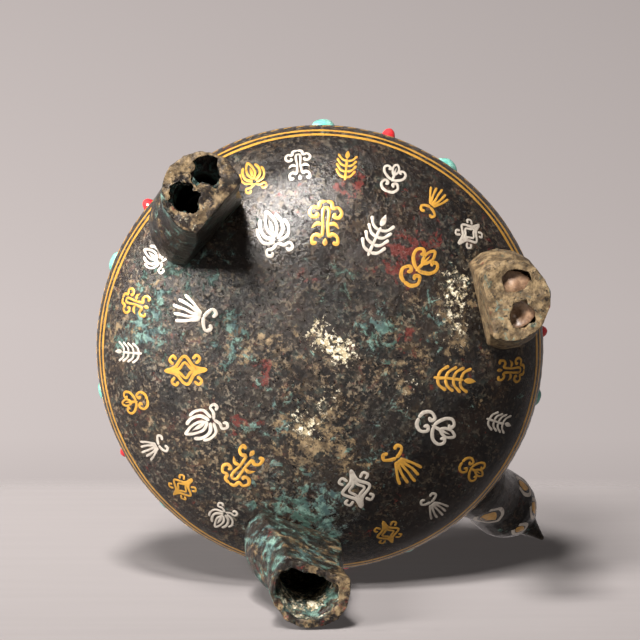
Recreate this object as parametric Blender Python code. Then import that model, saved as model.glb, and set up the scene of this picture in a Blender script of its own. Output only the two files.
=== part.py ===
"""Bronze tripod ewer: a flattened round body on three hoof legs, with a bird-head spout, an arched handle
and a lift-off lid. Metres, +Z up, standing on its feet at z = 0, with the spout towards +X."""

from collections import namedtuple
from math import asin, cos, hypot, pi, radians, sin, sqrt

import bmesh
import bpy
from mathutils import Matrix, Vector

# Clearance between pieces that touch or fit into each other
GAP = 0.0003

# Vessel body, from its widest circle
BODY_RADIUS = 0.1032
EQUATOR_HEIGHT = 0.093
BOWL_DEPTH = 0.052
SHOULDER_RISE = 0.046
BODY_WALL = 0.0034
NECK_RADIUS = 0.0475
NECK_HEIGHT = 0.011
RIM_LIP = 0.0022
RIM_HEIGHT = 0.004

# Two gold lines let into the bowl, measured down from the widest circle
UPPER_LINE_DROP = 0.0112
LOWER_LINE_DROP = 0.0148
LINE_WIDTH = 0.0018
LINE_DEPTH = 0.0011
LINE_PROUD = 0.0001

# Stones round the shoulder: groups of a coral between two turquoises
STONE_RISE = 0.009
STONE_SEAT = 0.0013
CORAL_COUNT = 5
CORAL_STEP = radians(68.2)
FIRST_CORAL = radians(177.2)
TURQUOISE_STEP = radians(17.0)
TURQUOISE_LENGTH = 0.0112
TURQUOISE_WIDTH = 0.0088
TURQUOISE_PROUD = 0.0048
CORAL_DIAMETER = 0.0066
CORAL_PROUD = 0.0058

# Legs: D sections with the flat face inwards, at four heights
LEG_WALL = 0.0042
FLAT_SHARE = 0.36
FOOT_WIDTH = 0.0345
FOOT_DEPTH = 0.0268
HOOF_HEIGHT = 0.006
ANKLE_HEIGHT = 0.019
ANKLE_WIDTH = 0.0305
ANKLE_DEPTH = 0.0235
THIGH_HEIGHT = 0.048
THIGH_WIDTH = 0.0450
THIGH_DEPTH = 0.0300
ROOT_WIDTH = 0.0400
ROOT_DEPTH = 0.0190
ROOT_DROP = 0.0150
LEAN_CURVE = 1.5
FOOT_WEB = 0.0035
FOOT_HOLE_LENGTH = 0.0105
FOOT_HOLE_WIDTH = 0.0092
FOOT_HOLE_SPACING = 0.0150

# Each leg: how far its flat face is in from the widest circle, and its foot's lean outwards and aside
REAR_INSET = 0.0322
REAR_SPLAY = 0.0062
REAR_SIDESTEP = 0.0165
LEFT_INSET = 0.0281
LEFT_SPLAY = 0.0040
LEFT_SIDESTEP = -0.0117
RIGHT_INSET = 0.0293
RIGHT_SPLAY = 0.0007
RIGHT_SIDESTEP = -0.0051

# One row for each leg, with where it meets the bowl and which way its outer side faces
Leg = namedtuple("Leg", "name angle facing inset splay sidestep foot")
LEGS = (
    Leg("leg_rear", radians(185.3), radians(178.5), REAR_INSET, REAR_SPLAY, REAR_SIDESTEP, "pierced"),
    Leg("leg_front_left", radians(55.1), radians(68.5), LEFT_INSET, LEFT_SPLAY, LEFT_SIDESTEP, "open"),
    Leg("leg_front_right", radians(-61), radians(-55.2), RIGHT_INSET, RIGHT_SPLAY, RIGHT_SIDESTEP, "filled"),
)

# Spout: a swelling neck that ends in a bird's head
SPOUT_ROOT_RISE = 0.017
SPOUT_ROOT_RADIUS = 0.0172
SPOUT_ROOT_PITCH = radians(46)
SPOUT_NECK_RADIUS = 0.0152
SPOUT_HEAD_RADIUS = 0.0164
SPOUT_BROW_RADIUS = 0.0132
SPOUT_NECK_SHARE = 0.35
SPOUT_HEAD_SHARE = 0.68
SPOUT_BROW_SHARE = 0.87
SPOUT_WALL = 0.0038
CHANNEL_START = 0.25
CHANNEL_END = 0.93
SPOUT_SUNK = -0.15
POURING_RADIUS = 0.0042
SPIGOT_RADIUS = 0.0118
SPIGOT_WALL = 0.0025
SPIGOT_INSIDE = 0.0075
SPIGOT_OUTSIDE = 0.0102
CUT_OVERRUN = 0.0060
MOUTH_OUT = 0.0347
MOUTH_RISE = 0.0560
MOUTH_RADIUS = 0.0078
BEAK_PITCH = radians(10)
BEAK_LENGTH = 0.0125
BEAK_RADIUS = 0.0066
BEAK_TIP_RADIUS = 0.0011
BEAK_SPLIT = 0.0005
BEAK_CURVE = 0.8

# Hinge of the upper beak
HINGE_LIFT = 0.0037
HINGE_FORWARD = 0.0006
KNUCKLE_RADIUS = 0.0021
KNUCKLE_WIDTH = 0.0034
EAR_THICKNESS = 0.0020
EAR_FOOT_LENGTH = 0.0034
BEAK_ARM_REACH = 0.0017
PIN_RADIUS = 0.0008

# Arched handle over the mouth
HANDLE_SPAN = 0.128
HANDLE_RISE = 0.092
HANDLE_WIDTH = 0.0130
HANDLE_THICKNESS = 0.0095
HANDLE_FOOT_GROWTH = 0.0045
HANDLE_FOOT_CURVE = 6
HANDLE_ROUNDING = 0.7
RIVET_RADIUS = 0.0022
RIVET_LENGTH = 0.0120
RIVET_HEAD_RADIUS = 0.0042
RIVET_HEAD_HEIGHT = 0.0020

# Lid and knob
LID_CLEARANCE = 0.0012
LID_THICKNESS = 0.0030
LID_DOME = 0.0110
LID_FLANGE_HEIGHT = 0.0030
LID_PLUG_DEPTH = 0.0060
KNOB_BASE_RADIUS = 0.0074
KNOB_BASE_HEIGHT = 0.0016
KNOB_NECK_RADIUS = 0.0042
KNOB_NECK_LOW = 0.0044
KNOB_NECK_HIGH = 0.0072
KNOB_RADIUS = 0.0092
KNOB_SWELL_HEIGHT = 0.0124
KNOB_HEIGHT = 0.0200
TENON_RADIUS = 0.0030
TENON_HEAD_RADIUS = 0.0048
TENON_HEAD_HEIGHT = 0.0020

# Materials: colour, roughness, metallic
MATERIALS = {
    "dark bronze": ((0.045, 0.038, 0.034), 0.45, 0.9),
    "gold inlay": ((0.75, 0.48, 0.13), 0.32, 1.0),
    "turquoise": ((0.16, 0.47, 0.42), 0.25, 0.0),
    "coral": ((0.55, 0.03, 0.04), 0.2, 0.0),
    "casting core": ((0.42, 0.34, 0.25), 0.95, 0.0),
}

# Mesh density
TURN_STEPS = 60
LEG_FLAT_POINTS = 3
LEG_ROUND_POINTS = 13
LEG_RINGS = 11
CORE_RINGS = 4
TUBE_SIDES = 20
TUBE_RINGS = 11
STONE_SIDES = 14
HANDLE_RINGS = 22
BEAK_RINGS = 7
BEAK_SIDES = 10
BOWL_POINTS = 10
BAND_POINTS = 3
SHOULDER_POINTS = 10
INSIDE_POINTS = 7
TRIM_POINTS = 14
DOME_TURNS = [radians(turn) for turn in (0, 25, 50, 75)]
KNOB_TURNS = [radians(turn) for turn in (-30, 0, 30, 55, 75)]

# Reach of the spout in front of the axis and of the rear coral behind it: the axis is set back
# so that the whole ewer is centred on the origin
SPOUT_REACH = BODY_RADIUS + MOUTH_OUT + BEAK_LENGTH * cos(BEAK_PITCH)


def shoulder_radius(rise):
    """Outer radius of the body at a height above its widest circle."""
    return BODY_RADIUS * sqrt(max(0.0, 1 - (rise / SHOULDER_RISE) ** 2))


def bowl_radius(drop):
    """Outer radius of the body at a height below its widest circle."""
    return BODY_RADIUS * sqrt(max(0.0, 1 - (drop / BOWL_DEPTH) ** 2))


def shoulder_rise(radius, margin=0.0):
    """Height of the shoulder above the widest circle at a radius, for a shell moved inwards by margin."""
    share = radius / (BODY_RADIUS - margin)
    return (SHOULDER_RISE - margin) * sqrt(max(0.0, 1 - share**2))


def shoulder_slope(rise):
    """Angle above level of the outward normal of the shoulder."""
    along = shoulder_radius(rise) / BODY_RADIUS**2
    upward = rise / SHOULDER_RISE**2
    return asin(upward / hypot(along, upward))


REAR_REACH = -cos(FIRST_CORAL) * (shoulder_radius(STONE_RISE) + CORAL_PROUD * cos(shoulder_slope(STONE_RISE)))
AXIS_X = (REAR_REACH - SPOUT_REACH) / 2
RIM_Z = EQUATOR_HEIGHT + shoulder_rise(NECK_RADIUS) + NECK_HEIGHT


def clear_scene():
    for old in list(bpy.data.objects):
        bpy.data.objects.remove(old, do_unlink=True)


def make_material(name, colour, roughness, metallic):
    material = bpy.data.materials.new(name)
    material.use_nodes = True
    shader = material.node_tree.nodes["Principled BSDF"]
    shader.inputs["Base Color"].default_value = (*colour, 1.0)
    shader.inputs["Roughness"].default_value = roughness
    shader.inputs["Metallic"].default_value = metallic
    return material


def add_object(name, bm, material=None, parent=None, place=None):
    """Finish a mesh: faces outwards, smooth round surfaces, one object in the scene."""
    bmesh.ops.recalc_face_normals(bm, faces=bm.faces)
    mesh = bpy.data.meshes.new(name)
    bm.to_mesh(mesh)
    bm.free()
    mesh.shade_smooth()
    mesh.set_sharp_from_angle(angle=radians(35))
    thing = bpy.data.objects.new(name, mesh)
    bpy.context.scene.collection.objects.link(thing)
    thing.parent = parent
    if place is not None:
        thing.matrix_basis = place
    if material is not None:
        mesh.materials.append(material)
    return thing


def add_cutter(name, bm, parent=None, place=None):
    cutter = add_object(name, bm, parent=parent, place=place)
    cutter.hide_render = True
    cutter.display_type = "WIRE"
    return cutter


def combine(target, other, operation):
    modifier = target.modifiers.new(f"{operation.lower()} {other.name}", "BOOLEAN")
    modifier.operation = operation
    modifier.object = other
    modifier.solver = "EXACT"


def turned(profile, closed=False, steps=TURN_STEPS):
    """Turn a list of (radius, height) points about Z. A point of no radius becomes one vertex on the axis."""
    bm = bmesh.new()
    rings = []
    for radius, height in profile:
        count = 1 if radius < GAP / 10 else steps
        turn = [2 * pi * k / steps for k in range(count)]
        ring = [bm.verts.new((radius * cos(a), radius * sin(a), height)) for a in turn]
        rings.append(ring)
    pairs = list(zip(rings, rings[1:]))
    if closed:
        pairs.append((rings[-1], rings[0]))
    for lower, upper in pairs:
        for k in range(steps):
            corners = [lower[k % len(lower)], lower[(k + 1) % len(lower)]]
            corners += [upper[(k + 1) % len(upper)], upper[k % len(upper)]]
            bm.faces.new(list(dict.fromkeys(corners)))
    return bm


def lofted(sections, bm=None):
    """Closed solid through loops of points that all have the same count."""
    bm = bm or bmesh.new()
    rings = [[bm.verts.new(point) for point in section] for section in sections]
    count = len(rings[0])
    for lower, upper in zip(rings, rings[1:]):
        for k in range(count):
            after = (k + 1) % count
            bm.faces.new((lower[k], lower[after], upper[after], upper[k]))
    bm.faces.new(list(reversed(rings[0])))
    bm.faces.new(rings[-1])
    return bm


def ellipse(width, height, depth, sides):
    """Level loop of an ellipse of full width and height, at z = depth."""
    angles = [2 * pi * k / sides for k in range(sides)]
    return [Vector((width / 2 * cos(a), height / 2 * sin(a), depth)) for a in angles]


def through(keys, share):
    """Smooth value at a share from 0 to 1 of the way through a list of (position, value) keys."""
    first, last = keys[0][0], keys[-1][0]
    position = first + share * (last - first)
    index = 0
    while index < len(keys) - 2 and keys[index + 1][0] < position:
        index += 1
    before = keys[max(index - 1, 0)]
    start, end = keys[index], keys[index + 1]
    after = keys[min(index + 2, len(keys) - 1)]
    span = end[0] - start[0]
    start_slope = (end[1] - before[1]) / (end[0] - before[0])
    end_slope = (after[1] - start[1]) / (after[0] - start[0])
    t = (position - start[0]) / span
    rise = (2 * t**3 - 3 * t**2 + 1) * start[1] + (3 * t**2 - 2 * t**3) * end[1]
    return rise + span * ((t**3 - 2 * t**2 + t) * start_slope + (t**3 - t**2) * end_slope)


def arc_points(radius, rise, start, end, count):
    """Points (radius, height from the widest circle) along an ellipse, from angle start to angle end."""
    angles = [start + (end - start) * k / (count - 1) for k in range(count)]
    return [(radius * cos(a), rise * sin(a)) for a in angles]


def lifted(points):
    return [(radius, EQUATOR_HEIGHT + height) for radius, height in points]


def groove_points(drop):
    """Four corners of a groove in the bowl for one gold line, from below."""
    floor = bowl_radius(drop) - LINE_DEPTH
    low = drop + LINE_WIDTH / 2
    high = drop - LINE_WIDTH / 2
    return [(bowl_radius(low), -low), (floor, -low), (floor, -high), (bowl_radius(high), -high)]


def body_profile():
    """Outer side from the underside up to the rim, then the inner side back down."""
    lower_start = asin((LOWER_LINE_DROP + LINE_WIDTH) / BOWL_DEPTH)
    neck_turn = asin(shoulder_rise(NECK_RADIUS) / SHOULDER_RISE)
    points = arc_points(BODY_RADIUS, BOWL_DEPTH, -pi / 2, -lower_start, BOWL_POINTS)
    points[0] = (0.0, -BOWL_DEPTH)
    points += groove_points(LOWER_LINE_DROP) + groove_points(UPPER_LINE_DROP)
    upper_end = asin((UPPER_LINE_DROP - LINE_WIDTH) / BOWL_DEPTH)
    points += arc_points(BODY_RADIUS, BOWL_DEPTH, -upper_end, 0.0, BAND_POINTS)
    points += arc_points(BODY_RADIUS, SHOULDER_RISE, 0.0, neck_turn, SHOULDER_POINTS)[1:]
    rim = RIM_Z - EQUATOR_HEIGHT
    points += [
        (NECK_RADIUS, rim - RIM_HEIGHT - RIM_LIP),
        (NECK_RADIUS + RIM_LIP, rim - RIM_HEIGHT),
        (NECK_RADIUS + RIM_LIP, rim),
        (NECK_RADIUS - BODY_WALL, rim),
    ]
    inner_radius = BODY_RADIUS - BODY_WALL
    inner_neck = shoulder_rise(NECK_RADIUS - BODY_WALL, BODY_WALL)
    inner_turn = asin(inner_neck / (SHOULDER_RISE - BODY_WALL))
    points += arc_points(inner_radius, SHOULDER_RISE - BODY_WALL, inner_turn, 0.0, INSIDE_POINTS - 1)
    points += arc_points(inner_radius, BOWL_DEPTH - BODY_WALL, 0.0, -pi / 2, INSIDE_POINTS)[1:-1]
    points.append((0.0, BODY_WALL - BOWL_DEPTH))
    return lifted(points)


def outer_form(margin):
    """Plain solid of the body's outside, grown by margin, for trimming what sits against it."""
    neck = NECK_RADIUS - BODY_WALL
    top = asin(shoulder_rise(neck) / SHOULDER_RISE)
    points = arc_points(BODY_RADIUS + margin, BOWL_DEPTH + margin, -pi / 2, 0.0, TRIM_POINTS)
    points += arc_points(BODY_RADIUS + margin, SHOULDER_RISE + margin, 0.0, top, TRIM_POINTS - 1)[1:]
    points[0] = (0.0, -BOWL_DEPTH - margin)
    points.append((0.0, points[-1][1]))
    return turned(lifted(points))


def stone_place(angle):
    """Frame on the shoulder at an angle: X along the ring, Z out of the surface."""
    slope = shoulder_slope(STONE_RISE)
    radius = shoulder_radius(STONE_RISE)
    out = Vector((cos(angle) * cos(slope), sin(angle) * cos(slope), sin(slope)))
    along = Vector((-sin(angle), cos(angle), 0.0))
    place = Matrix((along, out.cross(along), out)).transposed().to_4x4()
    place.translation = (radius * cos(angle), radius * sin(angle), EQUATOR_HEIGHT + STONE_RISE)
    return place


def stone(length, width, proud):
    """Cabochon with straight sides in its seat and a domed top."""
    depths = [GAP - STONE_SEAT, 0.0]
    sections = [ellipse(length, width, depth, STONE_SIDES) for depth in depths]
    for turn in DOME_TURNS[1:]:
        grown = cos(turn)
        sections.append(ellipse(length * grown, width * grown, proud * sin(turn), STONE_SIDES))
    return lofted(sections)


def seat(bm, length, width, proud, place):
    """Add one stone's seat to a cutter mesh."""
    sections = []
    for depth in (-STONE_SEAT, proud):
        loop = ellipse(length + 2 * GAP, width + 2 * GAP, depth, STONE_SIDES)
        sections.append([place @ point for point in loop])
    lofted(sections, bm)


def add_body(axis, bronze):
    return add_object("vessel_body", turned(body_profile()), bronze, axis)


def add_lines(axis, gold):
    """Two rings of gold wire, flush with the bowl."""
    for name, drop in (("gold_line_upper", UPPER_LINE_DROP), ("gold_line_lower", LOWER_LINE_DROP)):
        low = drop + LINE_WIDTH / 2 - GAP
        high = drop - LINE_WIDTH / 2 + GAP
        inner = bowl_radius(drop) - LINE_DEPTH + GAP
        profile = [(bowl_radius(low) + LINE_PROUD, -low), (bowl_radius(high) + LINE_PROUD, -high)]
        profile += [(inner, -high), (inner, -low)]
        add_object(name, turned(lifted(profile), closed=True), gold, axis)


def add_stones(axis, body, turquoise, coral):
    seats = bmesh.new()
    for group in range(CORAL_COUNT):
        middle = FIRST_CORAL + group * CORAL_STEP - (CORAL_COUNT - 1) / 2 * CORAL_STEP
        place = stone_place(middle)
        shape = (CORAL_DIAMETER, CORAL_DIAMETER, CORAL_PROUD)
        add_object(f"coral_{group + 1:02d}", stone(*shape), coral, axis, place)
        seat(seats, *shape, place)
        for side in (0, 1):
            place = stone_place(middle + (2 * side - 1) * TURQUOISE_STEP)
            shape = (TURQUOISE_LENGTH, TURQUOISE_WIDTH, TURQUOISE_PROUD)
            name = f"turquoise_{2 * group + side + 1:02d}"
            add_object(name, stone(*shape), turquoise, axis, place)
            seat(seats, *shape, place)
    combine(body, add_cutter("stone_seats", seats, axis), "DIFFERENCE")


def d_section(width, depth, inner, side, height):
    """D shaped loop: an ellipse cut off by its flat inner face. Local X points outwards."""
    centre = FLAT_SHARE * depth
    reach = depth - centre
    end = pi - asin(sqrt(1 - (centre / reach) ** 2))
    round_step = 2 * end / (LEG_ROUND_POINTS - 1)
    loop = []
    for k in range(LEG_ROUND_POINTS):
        angle = -end + k * round_step
        loop.append(Vector((inner + centre + reach * cos(angle), side + width / 2 * sin(angle), height)))
    first, last = loop[0], loop[-1]
    flat = [last.lerp(first, k / (LEG_FLAT_POINTS + 1)) for k in range(1, LEG_FLAT_POINTS + 1)]
    return loop + flat


def leg_sections(leg, margin, bottom, top):
    """Sections of a leg, or of its hollow when margin is a wall, from height bottom to height top."""
    root_z = EQUATOR_HEIGHT - ROOT_DROP
    sections = []
    for ring in range(LEG_RINGS):
        height = bottom + (top - bottom) * ring / (LEG_RINGS - 1)
        share = min(max(height / root_z, 0.0), 1.0)
        width = through(((0.0, FOOT_WIDTH), (HOOF_HEIGHT, FOOT_WIDTH), (ANKLE_HEIGHT, ANKLE_WIDTH),
                         (THIGH_HEIGHT, THIGH_WIDTH), (root_z, ROOT_WIDTH)), share)
        depth = through(((0.0, FOOT_DEPTH), (HOOF_HEIGHT, FOOT_DEPTH), (ANKLE_HEIGHT, ANKLE_DEPTH),
                         (THIGH_HEIGHT, THIGH_DEPTH), (root_z, ROOT_DEPTH)), share)
        lean = (1 - share) ** LEAN_CURVE
        inner = leg.splay * lean + margin
        side = leg.sidestep * lean
        sections.append(d_section(width - 2 * margin, depth - 2 * margin, inner, side, height))
    return sections


def leg_place(leg):
    """Frame of a leg: origin under the middle of its flat face at the root, X outwards."""
    reach = BODY_RADIUS - leg.inset
    return Matrix.Translation((reach * cos(leg.angle), reach * sin(leg.angle), 0.0)) @ Matrix.Rotation(
        leg.facing, 4, "Z"
    )


def foot_holes(leg):
    """Two oval holes, side by side, through the web that closes a foot."""
    bm = bmesh.new()
    for side in (-1, 1):
        middle = Vector((leg.splay + FOOT_DEPTH / 2, leg.sidestep + side * FOOT_HOLE_SPACING / 2, 0.0))
        sections = []
        for depth in (-FOOT_WEB, 2 * FOOT_WEB):
            loop = ellipse(FOOT_HOLE_LENGTH, FOOT_HOLE_WIDTH, depth, STONE_SIDES)
            sections.append([point + middle for point in loop])
        lofted(sections, bm)
    return bm


def add_legs(axis, bronze, clay):
    outside = add_cutter("body_outside", outer_form(GAP), axis)
    root_z = EQUATOR_HEIGHT - ROOT_DROP
    for leg in LEGS:
        place = leg_place(leg)
        thing = add_object(leg.name, lofted(leg_sections(leg, 0.0, 0.0, root_z)), bronze, axis, place)
        floor = -FOOT_WEB if leg.foot == "open" else FOOT_WEB
        hollow = lofted(leg_sections(leg, LEG_WALL, floor, root_z + LEG_WALL))
        combine(thing, add_cutter(f"{leg.name}_hollow", hollow, axis, place), "DIFFERENCE")
        if leg.foot != "open":
            combine(thing, add_cutter(f"{leg.name}_holes", foot_holes(leg), axis, place), "DIFFERENCE")
        combine(thing, outside, "DIFFERENCE")
        if leg.foot == "filled":
            plug = leg_sections(leg, LEG_WALL + 2 * GAP, FOOT_WEB + GAP, root_z + LEG_WALL + GAP)
            add_object("casting_core", lofted(plug[:CORE_RINGS]), clay, axis, place)


def upright(pitch):
    """Unit direction in the upright plane through the spout, at a pitch above level."""
    return Vector((cos(pitch), 0.0, sin(pitch)))


def spout_ends():
    """Centres of the spout's root on the shoulder and of its mouth."""
    root = Vector((shoulder_radius(SPOUT_ROOT_RISE), 0.0, EQUATOR_HEIGHT + SPOUT_ROOT_RISE))
    mouth = Vector((BODY_RADIUS + MOUTH_OUT, 0.0, EQUATOR_HEIGHT + MOUTH_RISE))
    return root, mouth


def spout_path(share):
    """Centre and heading at a share of the way from root to mouth; below 0 runs straight into the body."""
    root, mouth = spout_ends()
    length = (mouth - root).length
    start = upright(SPOUT_ROOT_PITCH) * length
    end = upright(BEAK_PITCH) * length
    if share < 0:
        return root + start * share, start.normalized()
    t = share
    centre = root * (2 * t**3 - 3 * t**2 + 1) + start * (t**3 - 2 * t**2 + t)
    centre += mouth * (3 * t**2 - 2 * t**3) + end * (t**3 - t**2)
    heading = (mouth - root) * (6 * t - 6 * t**2) + start * (3 * t**2 - 4 * t + 1) + end * (3 * t**2 - 2 * t)
    return centre, heading.normalized()


def spout_radius(share):
    keys = (
        (0.0, SPOUT_ROOT_RADIUS),
        (SPOUT_NECK_SHARE, SPOUT_NECK_RADIUS),
        (SPOUT_HEAD_SHARE, SPOUT_HEAD_RADIUS),
        (SPOUT_BROW_SHARE, SPOUT_BROW_RADIUS),
        (1.0, MOUTH_RADIUS),
    )
    return through(keys, max(share, 0.0))


def spout_sections(margin, start_share, end_share):
    """Round sections between two shares of the path, inside the outer surface by margin."""
    aside = Vector((0.0, 1.0, 0.0))
    sections = []
    for ring in range(TUBE_RINGS):
        share = start_share + (end_share - start_share) * ring / (TUBE_RINGS - 1)
        centre, heading = spout_path(share)
        upward = heading.cross(aside)
        radius = spout_radius(share) - margin
        angles = [2 * pi * k / TUBE_SIDES for k in range(TUBE_SIDES)]
        sections.append([centre + radius * (cos(a) * aside + sin(a) * upward) for a in angles])
    return sections


def beak_place():
    """Frame of the beak: origin in the middle of the mouth, X forwards, Z up."""
    _, mouth = spout_ends()
    place = Matrix.Rotation(-BEAK_PITCH, 4, "Y")
    place.translation = mouth
    return place


def hinge_point():
    """Middle of the hinge in the beak's frame, above the edge of the mouth."""
    return Vector((HINGE_FORWARD, 0.0, MOUTH_RADIUS + HINGE_LIFT))


def beak_half(start, side):
    """Half cone of the beak below (side -1) or above (side 1) its split, from start to the tip."""
    sections = []
    for ring in range(BEAK_RINGS):
        share = ring / (BEAK_RINGS - 1)
        reach = start + (BEAK_LENGTH - start) * share
        fall = max(reach, 0.0) / BEAK_LENGTH
        radius = BEAK_RADIUS + (BEAK_TIP_RADIUS - BEAK_RADIUS) * fall**BEAK_CURVE
        angles = [pi * k / BEAK_SIDES for k in range(BEAK_SIDES + 1)]
        loop = [(reach, radius * cos(a), side * (BEAK_SPLIT + radius * sin(a))) for a in angles]
        sections.append(loop)
    return lofted(sections)


def box(low, high):
    bm = bmesh.new()
    size = [b - a for a, b in zip(low, high)]
    middle = [(a + b) / 2 for a, b in zip(low, high)]
    scale = Matrix.Diagonal((*size, 1.0))
    bmesh.ops.create_cube(bm, size=1.0, matrix=Matrix.Translation(middle) @ scale)
    return bm


def cross_rod(radius, half_width, middle):
    """Round rod across the spout, along Y, centred on a point."""
    bm = bmesh.new()
    turn = Matrix.Translation(middle) @ Matrix.Rotation(pi / 2, 4, "X")
    bmesh.ops.create_cone(bm, cap_ends=True, segments=TUBE_SIDES, radius1=radius, radius2=radius,
                          depth=2 * half_width, matrix=turn)
    return bm


def upright_rod(radius, low, high, x):
    bm = bmesh.new()
    bmesh.ops.create_cone(bm, cap_ends=True, segments=TUBE_SIDES, radius1=radius, radius2=radius,
                          depth=high - low, matrix=Matrix.Translation((x, 0.0, (low + high) / 2)))
    return bm


def add_spout(axis, body, bronze):
    """Hollow spout with a spigot through the wall, a lower beak and two hinge ears."""
    root, _ = spout_ends()
    place = beak_place()
    ear_out = KNUCKLE_WIDTH / 2 + GAP + EAR_THICKNESS
    hinge = hinge_point()
    spout = add_object("spout", lofted(spout_sections(0.0, SPOUT_SUNK, 1.0)), bronze, axis)
    combine(spout, add_cutter("spout_body_outside", outer_form(GAP), axis), "DIFFERENCE")
    lower = beak_half(-MOUTH_RADIUS / 2, -1)
    combine(spout, add_cutter("beak_lower", lower, axis, place), "UNION")
    for side in (-1, 1):
        near = side * (KNUCKLE_WIDTH / 2 + GAP)
        far = side * ear_out
        low = (hinge.x - EAR_FOOT_LENGTH, min(near, far), MOUTH_RADIUS - KNUCKLE_RADIUS)
        high = (-GAP, max(near, far), hinge.z)
        ear = cross_rod(KNUCKLE_RADIUS, EAR_THICKNESS / 2, Vector((hinge.x, (near + far) / 2, hinge.z)))
        ear_top = add_cutter(f"hinge_ear_top_{side}", ear, axis, place)
        ear_foot = add_cutter(f"hinge_ear_foot_{side}", box(low, high), axis, place)
        combine(spout, ear_foot, "UNION")
        combine(spout, ear_top, "UNION")
    pitch = Matrix.Rotation(pi / 2 - SPOUT_ROOT_PITCH, 4, "Y")
    pitch.translation = root
    spigot = lofted([ellipse(2 * SPIGOT_RADIUS, 2 * SPIGOT_RADIUS, depth, TUBE_SIDES)
                     for depth in (-SPIGOT_INSIDE, SPIGOT_OUTSIDE)])
    combine(spout, add_cutter("spigot", spigot, axis, pitch), "UNION")
    bore_radius = SPIGOT_RADIUS - SPIGOT_WALL
    bore = lofted([ellipse(2 * bore_radius, 2 * bore_radius, depth, TUBE_SIDES)
                   for depth in (-SPIGOT_INSIDE - CUT_OVERRUN, SPIGOT_OUTSIDE + BODY_WALL / 2)])
    combine(spout, add_cutter("spigot_bore", bore, axis, pitch), "DIFFERENCE")
    channel = lofted(spout_sections(SPOUT_WALL, CHANNEL_START, CHANNEL_END))
    combine(spout, add_cutter("spout_channel", channel, axis), "DIFFERENCE")
    pour = lofted([ellipse(2 * POURING_RADIUS, 2 * POURING_RADIUS, depth, TUBE_SIDES)
                   for depth in (-BEAK_LENGTH / 2, BEAK_LENGTH / 4)])
    pour_place = place @ Matrix.Rotation(pi / 2, 4, "Y")
    combine(spout, add_cutter("pouring_hole", pour, axis, pour_place), "DIFFERENCE")
    hole = cross_rod(PIN_RADIUS + GAP, 2 * ear_out, hinge)
    combine(spout, add_cutter("ear_holes", hole, axis, place), "DIFFERENCE")
    socket = lofted([ellipse(2 * (SPIGOT_RADIUS + GAP), 2 * (SPIGOT_RADIUS + GAP), depth, TUBE_SIDES)
                     for depth in (-SPIGOT_INSIDE - 2 * CUT_OVERRUN, SPIGOT_OUTSIDE)])
    combine(body, add_cutter("spigot_socket", socket, axis, pitch), "DIFFERENCE")


def add_beak(axis, bronze):
    """Upper beak with its knuckle, turning on a pin between the spout's ears."""
    place = beak_place()
    hinge = hinge_point()
    pivot = bpy.data.objects.new("beak_pivot", None)
    bpy.context.scene.collection.objects.link(pivot)
    pivot.parent = axis
    pivot.matrix_basis = place @ Matrix.Translation(hinge)
    local = Matrix.Translation(-hinge)
    beak = add_object("beak_upper", beak_half(2 * GAP, 1), bronze, pivot, local)
    knuckle = cross_rod(KNUCKLE_RADIUS, KNUCKLE_WIDTH / 2, hinge)
    low = (2 * GAP, -KNUCKLE_WIDTH / 2, BEAK_RADIUS / 2)
    high = (hinge.x + BEAK_ARM_REACH, KNUCKLE_WIDTH / 2, hinge.z)
    combine(beak, add_cutter("beak_arm", box(low, high), pivot, local), "UNION")
    combine(beak, add_cutter("beak_knuckle", knuckle, pivot, local), "UNION")
    hole = cross_rod(PIN_RADIUS + GAP, KNUCKLE_WIDTH, hinge)
    combine(beak, add_cutter("beak_pin_hole", hole, pivot, local), "DIFFERENCE")
    ear_out = KNUCKLE_WIDTH / 2 + GAP + EAR_THICKNESS
    add_object("beak_pin", cross_rod(PIN_RADIUS, ear_out, hinge), bronze, pivot, local)


def handle_sections():
    """Rounded sections along the arch, larger towards its two feet."""
    foot_z = EQUATOR_HEIGHT + shoulder_rise(HANDLE_SPAN / 2)
    sunk = 2 * BODY_WALL
    sections = []
    for ring in range(HANDLE_RINGS):
        turn = pi * ring / (HANDLE_RINGS - 1)
        growth = HANDLE_FOOT_GROWTH * abs(cos(turn)) ** HANDLE_FOOT_CURVE
        width = HANDLE_WIDTH + growth
        thickness = HANDLE_THICKNESS + growth
        centre = Vector((HANDLE_SPAN / 2 * cos(turn), 0.0, foot_z + HANDLE_RISE * sin(turn)))
        if ring in (0, HANDLE_RINGS - 1):
            centre.z -= sunk
        out = Vector((HANDLE_RISE * cos(turn), 0.0, HANDLE_SPAN / 2 * sin(turn))).normalized()
        loop = []
        for k in range(TUBE_SIDES):
            angle = 2 * pi * k / TUBE_SIDES
            across = abs(cos(angle)) ** HANDLE_ROUNDING * (1 if cos(angle) > 0 else -1)
            along = abs(sin(angle)) ** HANDLE_ROUNDING * (1 if sin(angle) > 0 else -1)
            loop.append(centre + Vector((0.0, width / 2 * across, 0.0)) + out * (thickness / 2 * along))
        sections.append(loop)
    return sections


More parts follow.
